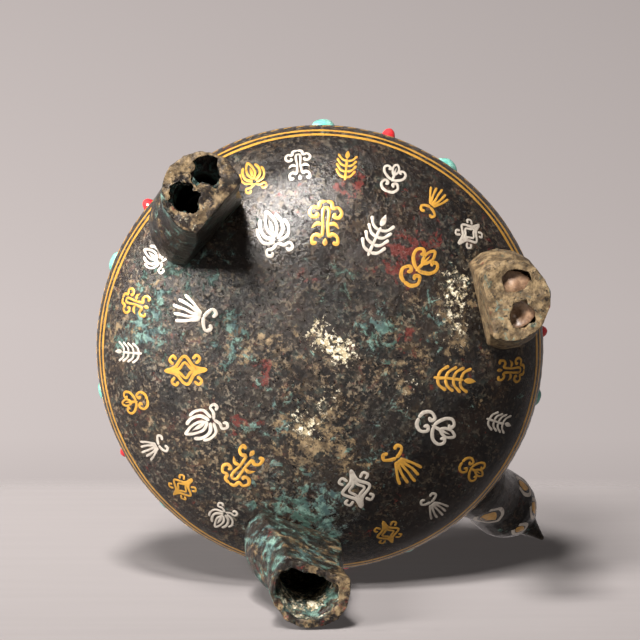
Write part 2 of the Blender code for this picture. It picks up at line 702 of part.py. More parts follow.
def add_handle(axis, body, bronze):
    """Arched handle seated on the shoulder and held by a rivet in each foot."""
    handle = add_object("handle", lofted(handle_sections()), bronze, axis)
    combine(handle, add_cutter("handle_body_outside", outer_form(GAP), axis), "DIFFERENCE")
    for name, side in (("front", 1), ("rear", -1)):
        middle = HANDLE_SPAN / 2
        under = EQUATOR_HEIGHT + shoulder_rise(middle + RIVET_HEAD_RADIUS, BODY_WALL) - 2 * GAP
        top = EQUATOR_HEIGHT + shoulder_rise(middle) + RIVET_LENGTH
        shank = [(RIVET_HEAD_RADIUS, under - RIVET_HEAD_HEIGHT), (RIVET_HEAD_RADIUS, under),
                 (RIVET_RADIUS, under), (RIVET_RADIUS, top), (0.0, top)]
        profile = [(0.0, under - RIVET_HEAD_HEIGHT)] + shank
        rivet = turned(profile, steps=TUBE_SIDES)
        place = Matrix.Translation((side * middle, 0.0, 0.0))
        add_object(f"handle_rivet_{name}", rivet, bronze, axis, place)
        hole = upright_rod(RIVET_RADIUS + GAP, under - RIVET_HEAD_HEIGHT, top + GAP, side * middle)
        bore = add_cutter(f"rivet_hole_{name}", hole, axis)
        combine(handle, bore, "DIFFERENCE")
        combine(body, bore, "DIFFERENCE")


def add_lid(axis, bronze):
    """Domed lid that rests on the rim, with a plug inside the neck, and its riveted knob."""
    lift = bpy.data.objects.new("lid_lift", None)
    bpy.context.scene.collection.objects.link(lift)
    lift.parent = axis
    lift.location = (0.0, 0.0, RIM_Z)
    mouth = NECK_RADIUS - BODY_WALL
    plug = mouth - LID_CLEARANCE
    edge = NECK_RADIUS + RIM_LIP
    inside = plug - LID_THICKNESS
    shoulder = edge - LID_FLANGE_HEIGHT / 2
    crown = LID_FLANGE_HEIGHT + LID_DOME
    dome = [(shoulder * cos(a), LID_FLANGE_HEIGHT + LID_DOME * sin(a)) for a in DOME_TURNS]
    hollow = crown - LID_THICKNESS
    vault = [(inside * cos(a), GAP + (hollow - GAP) * sin(a)) for a in reversed(DOME_TURNS)]
    hole = TENON_RADIUS + GAP
    profile = [(edge, GAP), (edge, LID_FLANGE_HEIGHT)] + dome + [(hole, crown), (hole, hollow)] + vault
    profile += [(inside, -LID_PLUG_DEPTH), (plug, -LID_PLUG_DEPTH), (plug, GAP)]
    add_object("lid", turned(profile, closed=True), bronze, lift)
    below = hollow - GAP
    above = crown + GAP
    top = above + KNOB_HEIGHT
    swell = above + KNOB_SWELL_HEIGHT
    knob = [(0.0, below - TENON_HEAD_HEIGHT), (TENON_HEAD_RADIUS, below - TENON_HEAD_HEIGHT)]
    knob += [(TENON_HEAD_RADIUS, below), (TENON_RADIUS, below), (TENON_RADIUS, above)]
    knob += [(KNOB_BASE_RADIUS, above), (KNOB_BASE_RADIUS, above + KNOB_BASE_HEIGHT)]
    knob += [(KNOB_NECK_RADIUS, above + KNOB_NECK_LOW), (KNOB_NECK_RADIUS, above + KNOB_NECK_HIGH)]
    for turn in KNOB_TURNS:
        reach = top - swell if turn > 0 else (top - swell) / 2
        knob.append((KNOB_RADIUS * cos(turn), swell + reach * sin(turn)))
    knob.append((0.0, top))
    add_object("lid_knob", turned(knob, steps=TUBE_SIDES), bronze, lift)


def main():
    clear_scene()
    bronze, gold, turquoise, coral, clay = (make_material(name, *look) for name, look in MATERIALS.items())
    axis = bpy.data.objects.new("ewer_axis", None)
    bpy.context.scene.collection.objects.link(axis)
    axis.location = (AXIS_X, 0.0, 0.0)
    body = add_body(axis, bronze)
    add_lines(axis, gold)
    add_stones(axis, body, turquoise, coral)
    add_legs(axis, bronze, clay)
    add_spout(axis, body, bronze)
    add_beak(axis, bronze)
    add_handle(axis, body, bronze)
    add_lid(axis, bronze)


main()
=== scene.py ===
"""Looks of the bronze tripod ewer: cast bronze with patina and crust, gold and silver inlay, set stones.
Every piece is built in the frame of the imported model, in metres."""

from math import atan2, cos, hypot, inf, pi, radians, sin, sqrt

import bmesh
import bpy
import numpy as np
from mathutils import Matrix, Vector
from mathutils.bvhtree import BVHTree
from mathutils.kdtree import KDTree


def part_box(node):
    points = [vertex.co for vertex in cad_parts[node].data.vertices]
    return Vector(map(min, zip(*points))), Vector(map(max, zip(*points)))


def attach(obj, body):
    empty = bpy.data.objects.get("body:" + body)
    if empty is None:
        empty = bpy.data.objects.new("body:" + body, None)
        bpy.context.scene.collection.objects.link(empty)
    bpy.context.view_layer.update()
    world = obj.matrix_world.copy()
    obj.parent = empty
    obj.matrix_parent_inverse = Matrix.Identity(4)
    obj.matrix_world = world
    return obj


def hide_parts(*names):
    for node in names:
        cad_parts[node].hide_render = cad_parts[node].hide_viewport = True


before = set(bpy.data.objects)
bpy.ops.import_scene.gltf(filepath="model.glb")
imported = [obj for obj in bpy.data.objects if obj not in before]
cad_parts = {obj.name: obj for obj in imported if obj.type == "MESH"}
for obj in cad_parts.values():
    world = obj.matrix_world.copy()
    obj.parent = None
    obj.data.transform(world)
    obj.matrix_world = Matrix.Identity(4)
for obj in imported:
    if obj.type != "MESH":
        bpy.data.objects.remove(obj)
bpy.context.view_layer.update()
X, Y, Z = (Vector(row) for row in Matrix.Identity(3))

# Body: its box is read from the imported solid
BODY_LOW, BODY_HIGH = (Vector(corner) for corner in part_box("vessel_body"))
AXIS = Vector(((BODY_LOW.x + BODY_HIGH.x) / 2, 0.0, 0.0))
RADIUS = (BODY_HIGH.x - BODY_LOW.x) / 2
BOWL_DEPTH = 0.052
SHOULDER_RISE = 0.046
EQUATOR = BODY_LOW.z + BOWL_DEPTH
RIM = BODY_HIGH.z
WALL = 0.0034
NECK_RADIUS = 0.0475
RIM_LIP = 0.0022
RIM_HEIGHT = 0.004
RIM_ROUNDING = 0.0012
NECK_HOLLOW = 0.0006
MOUTH_BEVEL = (0.0006, 0.0008)
BODY_STEPS = 640
BOWL_RINGS = 150
SHOULDER_RINGS = 70
NECK_RINGS = 8
RIM_RINGS = 6
INNER_SHOULDER_RINGS = 24
INNER_BOWL_RINGS = 30

# Waves of the cast surface: depth, size and seed
DENTS = 0.00018
DENT_SIZE = 0.014
DENT_SEED = 31

# Camera of the photograph, which looks from below. The point on the body's axis that lies RING_DROP under
# the widest circle is seen at RING_PIXEL and lies RING_DISTANCE deep.
PHOTO_SIDE = 640
FOCAL_PIXELS = 2000
SENSOR = 36.0
NEAREST = 0.01
RING_DROP = 0.013
RING_DISTANCE = 0.9132
RING_PIXEL = (320.0, 352.0)
AXIS_TILT = radians(6.5)
SPOUT_TURN = radians(-42.5)

# Colours, linear; a pair is mixed by a noise
PAPER = (0.576, 0.513, 0.497)
GOLD = (0.62, 0.325, 0.052)
WORN_GOLD = (0.16, 0.085, 0.03)
SILVER = (0.58, 0.52, 0.45)
WORN_SILVER = (0.2, 0.16, 0.135)
DARK_METAL = ((0.006, 0.005, 0.005), (0.016, 0.011, 0.009))
BROWN_FILM = ((0.058, 0.036, 0.018), (0.036, 0.031, 0.024))
COOL_FILM = (0.026, 0.048, 0.044)
WARM_FILM = (0.075, 0.022, 0.015)
PALE_DUST = ((0.27, 0.2, 0.125), (0.2, 0.17, 0.13))
SOIL = ((0.062, 0.04, 0.019), (0.215, 0.15, 0.078))
CUPRITE = (0.105, 0.016, 0.012)
VERDIGRIS = ((0.032, 0.075, 0.058), (0.04, 0.078, 0.082))
PALE_VERDIGRIS = (0.125, 0.215, 0.18)
LIME = ((0.33, 0.27, 0.16), (0.8, 0.73, 0.57))
PIT = (0.008, 0.007, 0.006)
STONE_BLUE = ((0.075, 0.3, 0.255), (0.24, 0.5, 0.43))
STONE_VEIN = (0.05, 0.075, 0.055)
CORAL_RED = ((0.36, 0.01, 0.016), (0.58, 0.03, 0.034))
CLAY_BROWN = ((0.085, 0.04, 0.024), (0.3, 0.19, 0.115))


def photo_axes():
    """Right, up and forward of the photograph's camera, in the ewer's frame, and the camera's place."""
    right, down = ((pixel - PHOTO_SIDE / 2) / FOCAL_PIXELS for pixel in RING_PIXEL)
    ray = Vector((right, -down, 1.0))
    pitch = atan2(ray.y, ray.z) + AXIS_TILT
    upright = Vector((0.0, sin(pitch), cos(pitch)))
    rise = Vector((0.0, cos(pitch), -sin(pitch)))
    spout = cos(SPOUT_TURN) * X + sin(SPOUT_TURN) * rise
    left = sin(SPOUT_TURN) * X - cos(SPOUT_TURN) * rise
    turn = Matrix((spout, left, upright))
    ring = AXIS + Z * (EQUATOR - RING_DROP)
    place = ring - turn @ (ray * RING_DISTANCE)
    return turn @ X, turn @ Y, turn @ Z, place


RIGHT, UP, FORWARD, EYE = photo_axes()


# Noise on points, the same in every run

LATTICE_PRIMES = np.array((73856093, 19349663, 83492791))
SEED_PRIME = 2654435761
MIX_PRIME = 1274126177
SEED_SHIFT = 17.31


def lattice_noise(points, size, seed):
    """Smooth noise from -1 to 1 on an array of points, with cells of the given size."""
    p = np.asarray(points) / size + seed * SEED_SHIFT
    cell = np.floor(p).astype(np.int64)
    part = p - cell
    ease = part * part * (3 - 2 * part)
    total = np.zeros(len(p))
    for corner in range(8):
        step = np.array([corner & 1, corner >> 1 & 1, corner >> 2 & 1])
        mixed = np.bitwise_xor.reduce((cell + step) * LATTICE_PRIMES, axis=1) ^ (seed * SEED_PRIME)
        mixed = (mixed ^ (mixed >> 13)) * MIX_PRIME & 0x7FFFFFFF
        value = ((mixed ^ (mixed >> 16)) & 0xFFFF) / 32767.5 - 1
        weight = np.prod(np.where(step == 1, ease, 1 - ease), axis=1)
        total += value * weight
    return total


def layered_noise(points, size, seed, layers=4):
    """Noise in layers, each half as large and half as strong as the one before."""
    total = np.zeros(len(points))
    for layer in range(layers):
        total += lattice_noise(points, size / 2**layer, seed + layer) / 2**layer
    return total / 1.6


def ramp(values, low, high):
    """Smooth rise from 0 at low to 1 at high."""
    t = np.clip((values - low) / (high - low), 0, 1)
    return t * t * (3 - 2 * t)


# Mesh helpers


SHARP_EDGE = radians(40)


def show(thing):
    """Put an object into the scene."""
    bpy.context.scene.collection.objects.link(thing)


def new_piece(name, mesh, material, body="vessel", replaces=()):
    """Show a mesh as a piece that rides on one of the ewer's bodies."""
    piece = bpy.data.objects.new(name, mesh)
    show(piece)
    mesh.shade_smooth()
    mesh.set_sharp_from_angle(angle=SHARP_EDGE)
    mesh.materials.clear()
    mesh.materials.append(material)
    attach(piece, body)
    if replaces:
        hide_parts(*replaces)


def mesh_from(name, points, faces):
    """Mesh of the given faces, all turned outwards."""
    mesh = bpy.data.meshes.new(name)
    mesh.from_pydata([tuple(p) for p in points], [], faces)
    mesh.validate()
    bm = bmesh.new()
    bm.from_mesh(mesh)
    bmesh.ops.recalc_face_normals(bm, faces=bm.faces)
    bm.to_mesh(mesh)
    bm.free()
    return mesh


def read_points(mesh):
    flat = np.empty(len(mesh.vertices) * 3)
    mesh.vertices.foreach_get("co", flat)
    return flat.reshape(-1, 3)


def read_normals(mesh):
    flat = np.empty(len(mesh.vertices) * 3, np.float32)
    mesh.vertex_normals.foreach_get("vector", flat)
    return flat.reshape(-1, 3).astype(float)


def write_points(mesh, points):
    mesh.vertices.foreach_set("co", points.astype(np.float32).ravel())
    mesh.update()


def store(mesh, name, values):
    """Keep one number a vertex, which the bronze material reads."""
    layer = mesh.attributes.new(name, "FLOAT", "POINT")
    layer.data.foreach_set("value", np.clip(values, 0, 1).astype(np.float32))


def revolve(name, profile, steps):
    """Turn (radius, height) points about the body's axis; the loop of points is closed."""
    turn = np.arange(steps) * 2 * pi / steps
    points = []
    rings = []
    for radius, height in profile:
        if radius == 0:
            rings.append([len(points)] * steps)
            points.append((AXIS.x, AXIS.y, height))
            continue
        rings.append(list(range(len(points), len(points) + steps)))
        points += [(AXIS.x + radius * cos(a), AXIS.y + radius * sin(a), height) for a in turn]
    faces = []
    for lower, upper in zip(rings, rings[1:] + rings[:1]):
        for k in range(steps):
            after = (k + 1) % steps
            corners = list(dict.fromkeys((lower[k], lower[after], upper[after], upper[k])))
            if len(corners) > 2:
                faces.append(corners)
    return mesh_from(name, points, faces)


WELD_REACH = 0.00001
SOFTENING = 0.5


def recast(node, voxel, smooth):
    """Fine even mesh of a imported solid, with its edges softened as a casting's are."""
    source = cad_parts[node].data.copy()
    piece = bpy.data.objects.new(f"{node}_fine", source)
    show(piece)
    weld = piece.modifiers.new("weld", "WELD")
    weld.merge_threshold = WELD_REACH
    remesh = piece.modifiers.new("remesh", "REMESH")
    remesh.mode = "VOXEL"
    remesh.voxel_size = voxel
    soften = piece.modifiers.new("soften", "SMOOTH")
    soften.factor = SOFTENING
    soften.iterations = smooth
    graph = bpy.context.evaluated_depsgraph_get()
    mesh = bpy.data.meshes.new_from_object(piece.evaluated_get(graph))
    mesh.name = f"{node}_cast"
    bpy.data.objects.remove(piece)
    bpy.data.meshes.remove(source)
    return mesh


# Materials


class Nodes:
    """Shorthand for building the nodes of a material or of the world."""

    def __init__(self, owner, shader="Principled BSDF", coordinates="Object"):
        owner.use_nodes = True
        self.owner = owner
        self.tree = owner.node_tree
        self.shader = self.tree.nodes[shader]
        self.where = self.add("ShaderNodeTexCoord").outputs[coordinates]

    def add(self, kind, inputs=None, **settings):
        node = self.tree.nodes.new(kind)
        for key, value in settings.items():
            setattr(node, key, value)
        for socket, value in (inputs or {}).items():
            self.fill(node.inputs[socket], value)
        return node

    def fill(self, socket, value):
        """Link another node's output into a socket, or set a number or a colour on it."""
        if hasattr(value, "links"):
            self.tree.links.new(value, socket)
        elif isinstance(value, tuple) and len(value) == 3:
            socket.default_value = (*value, 1.0)
        else:
            socket.default_value = value

    def noise(self, scale, detail=6.0, rough=0.6, distortion=0.0):
        inputs = {"Vector": self.where, "Scale": scale, "Detail": detail, "Roughness": rough}
        return self.add("ShaderNodeTexNoise", {**inputs, "Distortion": distortion}).outputs["Fac"]

    def attribute(self, name):
        return self.add("ShaderNodeAttribute", attribute_name=name).outputs["Fac"]

    def math(self, operation, a, b=0.0):
        return self.add("ShaderNodeMath", {0: a, 1: b}, operation=operation).outputs[0]

    def times(self, a, b):
        return self.math("MULTIPLY", a, b)

    def steps(self, value, low, high, bottom=0.0, top=1.0, kind="SMOOTHSTEP"):
        """Change from bottom to top while the value goes from low to high."""
        inputs = {"Value": value, "From Min": low, "From Max": high, "To Min": bottom, "To Max": top}
        return self.add("ShaderNodeMapRange", inputs, interpolation_type=kind).outputs["Result"]

    def mix(self, share, a, b, kind="RGBA"):
        return self.add("ShaderNodeMix", {"Factor": share, "A": a, "B": b}, data_type=kind).outputs["Result"]

    def blend(self, share, a, b):
        return self.mix(share, a, b, "FLOAT")

    def growth(self, name, grain, low, high):
        """Cover of one growth: the mesh's own number, broken up by a noise of the given grain."""
        broken = self.steps(grain, 0.25, 0.75, -0.5, 0.5)
        return self.steps(self.math("ADD", self.attribute(name), broken), low, high)

    def bump(self, height, strength, distance):
        node = self.add("ShaderNodeBump", {"Height": height, "Strength": strength, "Distance": distance})
        self.fill(self.shader.inputs["Normal"], node.outputs["Normal"])

    def finish(self, colour=None, rough=None, metal=None):
        for key, value in (("Base Color", colour), ("Roughness", rough), ("Metallic", metal)):
            if value is not None:
                self.fill(self.shader.inputs[key], value)
        return self.owner


def bronze_material(name, specks, border, gloss, mirror):
    """Dark bronze under a thin brown film, with verdigris, cuprite, earth and lime crust where their numbers
    are high. Specks is the share of the fine light grains, border the softness of the growths' edges,
    gloss their shine and mirror the strength of the bare metal's reflections."""
    n = Nodes(bpy.data.materials.new(name))
    broad = n.noise(34, 5, 0.6)
    cloud = n.noise(85, 6, 0.65)
    middle = n.noise(240, 8, 0.68)
    fine = n.noise(520, 5, 0.62)
    grit = n.noise(1500, 5, 0.75)
    hue = n.steps(n.noise(60, 4, 0.6), 0.38, 0.62)
    cool = n.steps(n.noise(150, 6, 0.65, 0.4), 0.5, 0.6)
    warm = n.steps(n.noise(170, 6, 0.65, 0.7), 0.54, 0.62)
    polish = n.attribute("polish")
    matt = n.steps(polish, 0.0, 0.85, 1.0, 0.3)
    thin = n.steps(polish, 0.3, 0.9, 0.9, 0.35)
    patchy = n.steps(cloud, 0.38, 0.58, 0.2, 1.0)

    # Bare metal, its film and the dust in its grain
    base = n.mix(n.steps(broad, 0.38, 0.62), *DARK_METAL)
    film = n.times(n.steps(middle, 0.48, 0.56), patchy)
    tint = n.mix(hue, *BROWN_FILM)
    tint = n.mix(n.times(cool, 0.7), tint, COOL_FILM)
    tint = n.mix(n.times(warm, 0.6), tint, WARM_FILM)
    base = n.mix(n.times(film, thin), base, tint)
    dust = n.times(n.times(n.steps(fine, 0.53, 0.6), patchy), matt)
    base = n.mix(n.times(dust, specks), base, n.mix(hue, *PALE_DUST))

    # Growths, the later ones over the earlier
    earth = n.growth("earth", n.noise(170, 9, 0.72), 0.52, 0.66 + border)
    base = n.mix(n.times(earth, 0.85), base, n.mix(n.steps(middle, 0.4, 0.62), *SOIL))
    red = n.growth("cuprite", n.noise(190, 8, 0.72, 0.4), 0.5, 0.66)
    base = n.mix(n.times(red, 0.8), base, CUPRITE)
    green = n.growth("verdigris", n.noise(180, 10, 0.76, 0.5), 0.5, 0.68 + border)
    teal = n.mix(n.steps(middle, 0.44, 0.6), n.mix(hue, *VERDIGRIS), PALE_VERDIGRIS)
    base = n.mix(n.times(green, 0.92), base, teal)
    crust = n.growth("crust", n.noise(360, 10, 0.78, 0.3), 0.58, 0.68 + border)
    base = n.mix(crust, base, n.mix(n.steps(fine, 0.42, 0.6), *LIME))
    pits = n.steps(n.noise(420, 6, 0.68), 0.36, 0.43, 1.0, 0.0)
    base = n.mix(n.times(pits, 0.85), base, PIT)

    # Shine and relief
    covered = n.math("MAXIMUM", n.math("MAXIMUM", green, earth), crust)
    rough = n.steps(n.noise(300, 5, 0.6), 0.3, 0.7, 0.26, 0.42)
    rough = n.times(rough, n.steps(polish, 0.76, 1.0, 1.0, 0.55))
    rough = n.blend(n.times(dust, 0.5), rough, 0.55)
    rough = n.blend(n.times(covered, 1.0 - gloss), rough, 0.75)
    metal = n.blend(covered, 0.25, 0.0)
    height = n.math("SUBTRACT", fine, n.times(pits, 0.5))
    for layer, rise in ((grit, 0.4), (crust, 0.9), (green, 0.35)):
        height = n.math("ADD", height, n.times(layer, rise))
    n.bump(height, n.steps(polish, 0.76, 1.0, 0.95, 0.45), 0.0005)
    n.shader.inputs["Specular IOR Level"].default_value = mirror
    return n.finish(base, rough, metal)


def inlay_material(name, colour, worn, rough):
    """Hammered wire inlay, its tone varied and stained in patches by noise."""
    n = Nodes(bpy.data.materials.new(name))
    stain = n.steps(n.noise(380, 8, 0.72), 0.46, 0.7)
    tone = n.mix(n.steps(n.noise(120, 4, 0.6), 0.35, 0.65), colour, tuple(0.8 * c for c in colour))
    base = n.mix(n.times(stain, 0.75), tone, worn)
    gloss = n.steps(n.noise(260, 6, 0.65), 0.3, 0.7, rough - 0.08, rough + 0.12)
    n.bump(n.noise(700, 5, 0.6), 0.35, 0.00012)
    metal = n.blend(stain, 0.45, 0.2)
    return n.finish(base, gloss, metal)


def turquoise_material():
    """Blue-green stone with thin dark veins."""
    n = Nodes(bpy.data.materials.new("turquoise stone"))
    tone = n.steps(n.noise(240, 6, 0.6), 0.32, 0.68)
    base = n.mix(tone, *STONE_BLUE)
    vein = n.math("ABSOLUTE", n.math("SUBTRACT", n.noise(330, 7, 0.65, 0.8), 0.5))
    vein = n.steps(vein, 0.0, 0.03, 1.0, 0.0)
    base = n.mix(n.times(vein, 0.6), base, STONE_VEIN)
    n.bump(n.noise(500, 4, 0.5), 0.2, 0.0001)
    return n.finish(base, n.steps(vein, 0.0, 1.0, 0.2, 0.5), 0.0)


def coral_material():
    n = Nodes(bpy.data.materials.new("red coral"))
    tone = n.steps(n.noise(300, 6, 0.6), 0.32, 0.68)
    base = n.mix(tone, *CORAL_RED)
    n.bump(n.noise(450, 4, 0.5), 0.2, 0.0001)
    return n.finish(base, n.steps(n.noise(500, 4, 0.6), 0.3, 0.7, 0.14, 0.28), 0.0)


def clay_material():
    n = Nodes(bpy.data.materials.new("clay core"))
    tone = n.steps(n.noise(320, 8, 0.7), 0.3, 0.7)
    base = n.mix(tone, *CLAY_BROWN)
    n.bump(n.noise(500, 6, 0.6), 0.5, 0.0003)
    return n.finish(base, n.steps(n.noise(400, 4, 0.6), 0.3, 0.7, 0.32, 0.52), 0.0)


BRONZE = bronze_material("patinated bronze", specks=0.6, border=0.0, gloss=0.3, mirror=0.46)
BURIED_BRONZE = bronze_material("buried bronze", specks=0.25, border=0.14, gloss=0.5, mirror=0.3)
DARK_BRONZE = bronze_material("dark bronze", specks=0.35, border=0.0, gloss=0.4, mirror=0.15)
GOLD_WIRE = inlay_material("gold inlay", GOLD, WORN_GOLD, rough=0.34)
SILVER_WIRE = inlay_material("silver inlay", SILVER, WORN_SILVER, rough=0.4)
TURQUOISE = turquoise_material()
CORAL = coral_material()
CLAY = clay_material()


# Patina: how much of each growth a vertex carries

MILLIMETRE = 0.001

# Spots of each growth on the underside, and of polish: place to the right and up in the photograph and reach,
# in millimetres, and strength. A spot of endless reach is the same everywhere.
SPOTS = {
    "crust": (
        (4.4, 12.5, 9, 0.5), (12, 8, 8, 0.52), (-4, 15, 7, 0.5), (-1, 25, 6, 0.38),
        (2.6, -13, 9, 0.46), (-10, -22, 8, 0.44), (-3, -29, 7, 0.36), (3, 41, 7, 0.36),
        (60, 37, 12, 0.52), (60, 18, 12, 0.48), (42, -10, 10, 0.44), (-32, 7.5, 8, 0.26),
    ),
    "verdigris": (
        (-84, 16, 18, 0.36), (-66, 46, 24, 0.34), (26, 16, 11, 0.34), (50, 32, 16, 0.38),
        (26, 3, 10, 0.28), (30, -30, 22, 0.18), (-30, -22, 18, 0.26), (-40, 12, 12, 0.3),
        (4, 40, 12, 0.26), (-6, -68, 22, 0.56),
    ),
    "earth": (
        (-80, 26, 18, 0.34), (-66, -14, 40, 0.22), (-32, 7.5, 9, 0.28), (-18, 12, 14, 0.36),
        (-4, -30, 14, 0.46), (10, -12, 26, 0.16), (36, 0, 12, 0.36), (60, 20, 26, 0.4),
        (14, -40, 16, 0.3), (-30, -50, 24, 0.22),
    ),
    "cuprite": (
        (13, 83, 7, 0.42), (34, 50, 11, 0.34), (40, 15, 6, 0.46), (-24, -1, 8, 0.44),
        (-35, -22, 5, 0.36), (-8, 42, 6, 0.36), (52, 62, 12, 0.34),
    ),
    "polish": (
        (72, -42, 45, 0.6), (36, -68, 35, 0.6), (36, 70, 36, 0.6), (84, -10, 30, 0.4),
        (-12, 72, 26, 1.1), (-22, 20, 30, 0.45), (-66, -14, 45, -0.5), (0, 0, inf, -0.2),
    ),
}

# Size of the largest patches of each noise, and its seed
BROAD_NOISE = (0.03, 3)
GREEN_NOISE = (0.012, 7)
CRUST_NOISE = (0.016, 11)
RED_NOISE = (0.018, 17)
EARTH_NOISE = (0.02, 23)
LUMP_NOISE = (0.003, 41)


def spot_sum(flat, spots):
    """Sum of soft round spots at places in millimetres."""
    total = np.zeros(len(flat))
    for right, up, reach, strength in spots:
        away = np.hypot(flat[:, 0] - right, flat[:, 1] - up)
        total += strength * np.exp(-((away / reach) ** 2))
    return total


def patina(mesh, crust=0.0, green=0.0, red=0.0, earth=0.0, polish=0.5, spots=False):
    """Store the bronze material's numbers on a mesh, with the underside's own spots where asked."""
    points = read_points(mesh)
    broad = layered_noise(points, *BROAD_NOISE)
    values = {
        "crust": crust + 0.22 * layered_noise(points, *CRUST_NOISE),
        "verdigris": green + 0.26 * layered_noise(points, *GREEN_NOISE) + 0.1 * broad,
        "cuprite": red + 0.26 * layered_noise(points, *RED_NOISE),
        "earth": earth + 0.24 * layered_noise(points, *EARTH_NOISE),
        "polish": polish + 0.3 * broad,
    }
    if spots:
        away = points - np.array(AXIS)
        flat = np.stack([away @ np.array(RIGHT), away @ np.array(UP)], axis=1) / MILLIMETRE
        under = ramp(-read_normals(mesh)[:, 2], -0.1, 0.35)
        for name, own in SPOTS.items():
            values[name] += under * spot_sum(flat, own)
    for name, value in values.items():
        store(mesh, name, value)
    return values


def weather(mesh, values, dents, growth, grain=DENT_SIZE):
    """Move the surface: shallow casting dents everywhere, and raised crust where the patina is thick."""
    points = read_points(mesh)
    normals = read_normals(mesh)
    move = dents * layered_noise(points, grain, DENT_SEED, 3)
    lumps = 0.5 + 0.5 * layered_noise(points, *LUMP_NOISE, 3)
    move += growth * lumps * ramp(values["crust"], 0.25, 0.75)
    move += 0.45 * growth * lumps * ramp(values["verdigris"], 0.35, 0.8)
    write_points(mesh, points + normals * move[:, None])


# Body of the vessel


def half_height(angle):
    """Height of the half that a profile angle lies on: below 0 the bowl, above 0 the shoulder."""
    return BOWL_DEPTH if angle < 0 else SHOULDER_RISE


def body_angle_point(angle):
    """Radius and height of the outside at a profile angle."""
    return RADIUS * cos(angle), EQUATOR + half_height(angle) * sin(angle)


def angle_at(radius, widest):
    """Profile angle at which a half of the body has a radius."""
    return atan2(sqrt(1 - (radius / widest) ** 2), radius / widest)


def body_profile():
    """Closed line of (radius, height) points: up the outside, over the rim and down the inside."""
    neck_turn = angle_at(NECK_RADIUS, RADIUS)
    bowl = np.linspace(-pi / 2, 0, BOWL_RINGS)
    shoulder = np.linspace(0, neck_turn, SHOULDER_RINGS)[1:]
    profile = [body_angle_point(angle) for angle in np.concatenate([bowl, shoulder])]
    profile[0] = (0.0, EQUATOR - BOWL_DEPTH)
    neck_low = profile[-1][1]
    neck_height = RIM - RIM_HEIGHT - RIM_LIP - neck_low
    for ring in range(1, NECK_RINGS + 1):
        t = ring / NECK_RINGS
        profile.append((NECK_RADIUS - NECK_HOLLOW * sin(pi * t), neck_low + t * neck_height))
    lip = NECK_RADIUS + RIM_LIP
    for ring in range(RIM_RINGS + 1):
        a = pi * ring / RIM_RINGS - pi / 2
        radius = lip - RIM_ROUNDING + RIM_ROUNDING * cos(a)
        profile.append((radius, RIM - RIM_HEIGHT / 2 + RIM_HEIGHT / 2 * sin(a)))
    inner = RADIUS - WALL
    mouth = NECK_RADIUS - WALL
    profile.append((mouth + MOUTH_BEVEL[0], RIM))
    profile.append((mouth, RIM - MOUTH_BEVEL[1]))
    for angle in np.linspace(angle_at(mouth, inner), 0, INNER_SHOULDER_RINGS):
        profile.append((inner * cos(angle), EQUATOR + (SHOULDER_RISE - WALL) * sin(angle)))
    for angle in np.linspace(0, -pi / 2, INNER_BOWL_RINGS)[1:-1]:
        profile.append((inner * cos(angle), EQUATOR + (BOWL_DEPTH - WALL) * sin(angle)))
    profile.append((0.0, EQUATOR - BOWL_DEPTH + WALL))
    return profile


def add_body():
    mesh = revolve("ewer_body", body_profile(), BODY_STEPS)
    values = patina(mesh, crust=0.0, green=0.12, red=0.16, earth=0.06, polish=0.45, spots=True)
    weather(mesh, values, DENTS, growth=0.00035)
    new_piece("ewer_body", mesh, BRONZE, replaces=("vessel_body",))


# Inlay: ribbons of wire let into a surface


def dent(points):
    """Shallow waves of the cast surface, which the inlay follows."""
    return DENTS * layered_noise(points, DENT_SIZE, DENT_SEED, 3)


class Revolved:
    """Places wire on the body's outside: across along the ring, along up the profile."""

    def __init__(self, turn, angle):
        self.turn = turn
        self.angle = angle
        self.pace = hypot(RADIUS * sin(angle), half_height(angle) * cos(angle))

    def place(self, across, along, lift):
        angle = self.angle + along / self.pace
        radius, height = body_angle_point(angle)
        turn = self.turn + across / radius
        out, up = cos(angle) / RADIUS, sin(angle) / half_height(angle)
        size = hypot(out, up)
        reach = radius + lift * out / size
        return AXIS + Vector((reach * cos(turn), reach * sin(turn), height + lift * up / size))


class Draped:
    """Places wire on any piece: a flat drawing about a point, laid onto the piece along a direction."""

    DEPTH = 0.04

    def __init__(self, tree, origin, across, along):
        self.tree = tree
        self.origin = origin
        self.across = across.normalized()
        self.along = along.normalized()
        self.out = self.across.cross(self.along).normalized()

    def place(self, across, along, lift):
        start = self.origin + self.across * across + self.along * along + self.out * self.DEPTH
        spot, normal, _, _ = self.tree.ray_cast(start, -self.out, 2 * self.DEPTH)
        if spot is None:
            spot, normal, _, _ = self.tree.find_nearest(start - self.out * self.DEPTH)
        return spot + normal * lift


def tree_of(mesh):
    return BVHTree.FromPolygons([v.co for v in mesh.vertices], [p.vertices for p in mesh.polygons])


def resample(points, pace):
    """Even steps along a line of points."""
    points = np.asarray(points, float)
    length = np.concatenate([[0], np.cumsum(np.hypot(*np.diff(points, axis=0).T))])
    count = max(int(length[-1] / pace), 4)
    at = np.linspace(0, length[-1], count + 1)
    return np.stack([np.interp(at, length, points[:, k]) for k in (0, 1)], axis=1)


WIRE_RISE = 0.00009
WIRE_EDGE = 0.00003
WIRE_SINK = 0.0007
WIRE_PACE = 0.0004
WIRE_MIDDLE = ((0.45, WIRE_RISE), (-0.45, WIRE_RISE))
RING_MIDDLE = ((0, WIRE_RISE),)
WOBBLE = 0.00022
WOBBLE_SIZE = 0.004
WOBBLE_LAYER = 0.01
WOBBLE_SEEDS = (71, 72)


def wire_section(middle):
    """Points round a wire: share of its half width, and lift over the surface."""
    return ((1, -WIRE_SINK), (1, WIRE_EDGE), *middle, (-1, WIRE_EDGE), (-1, -WIRE_SINK))


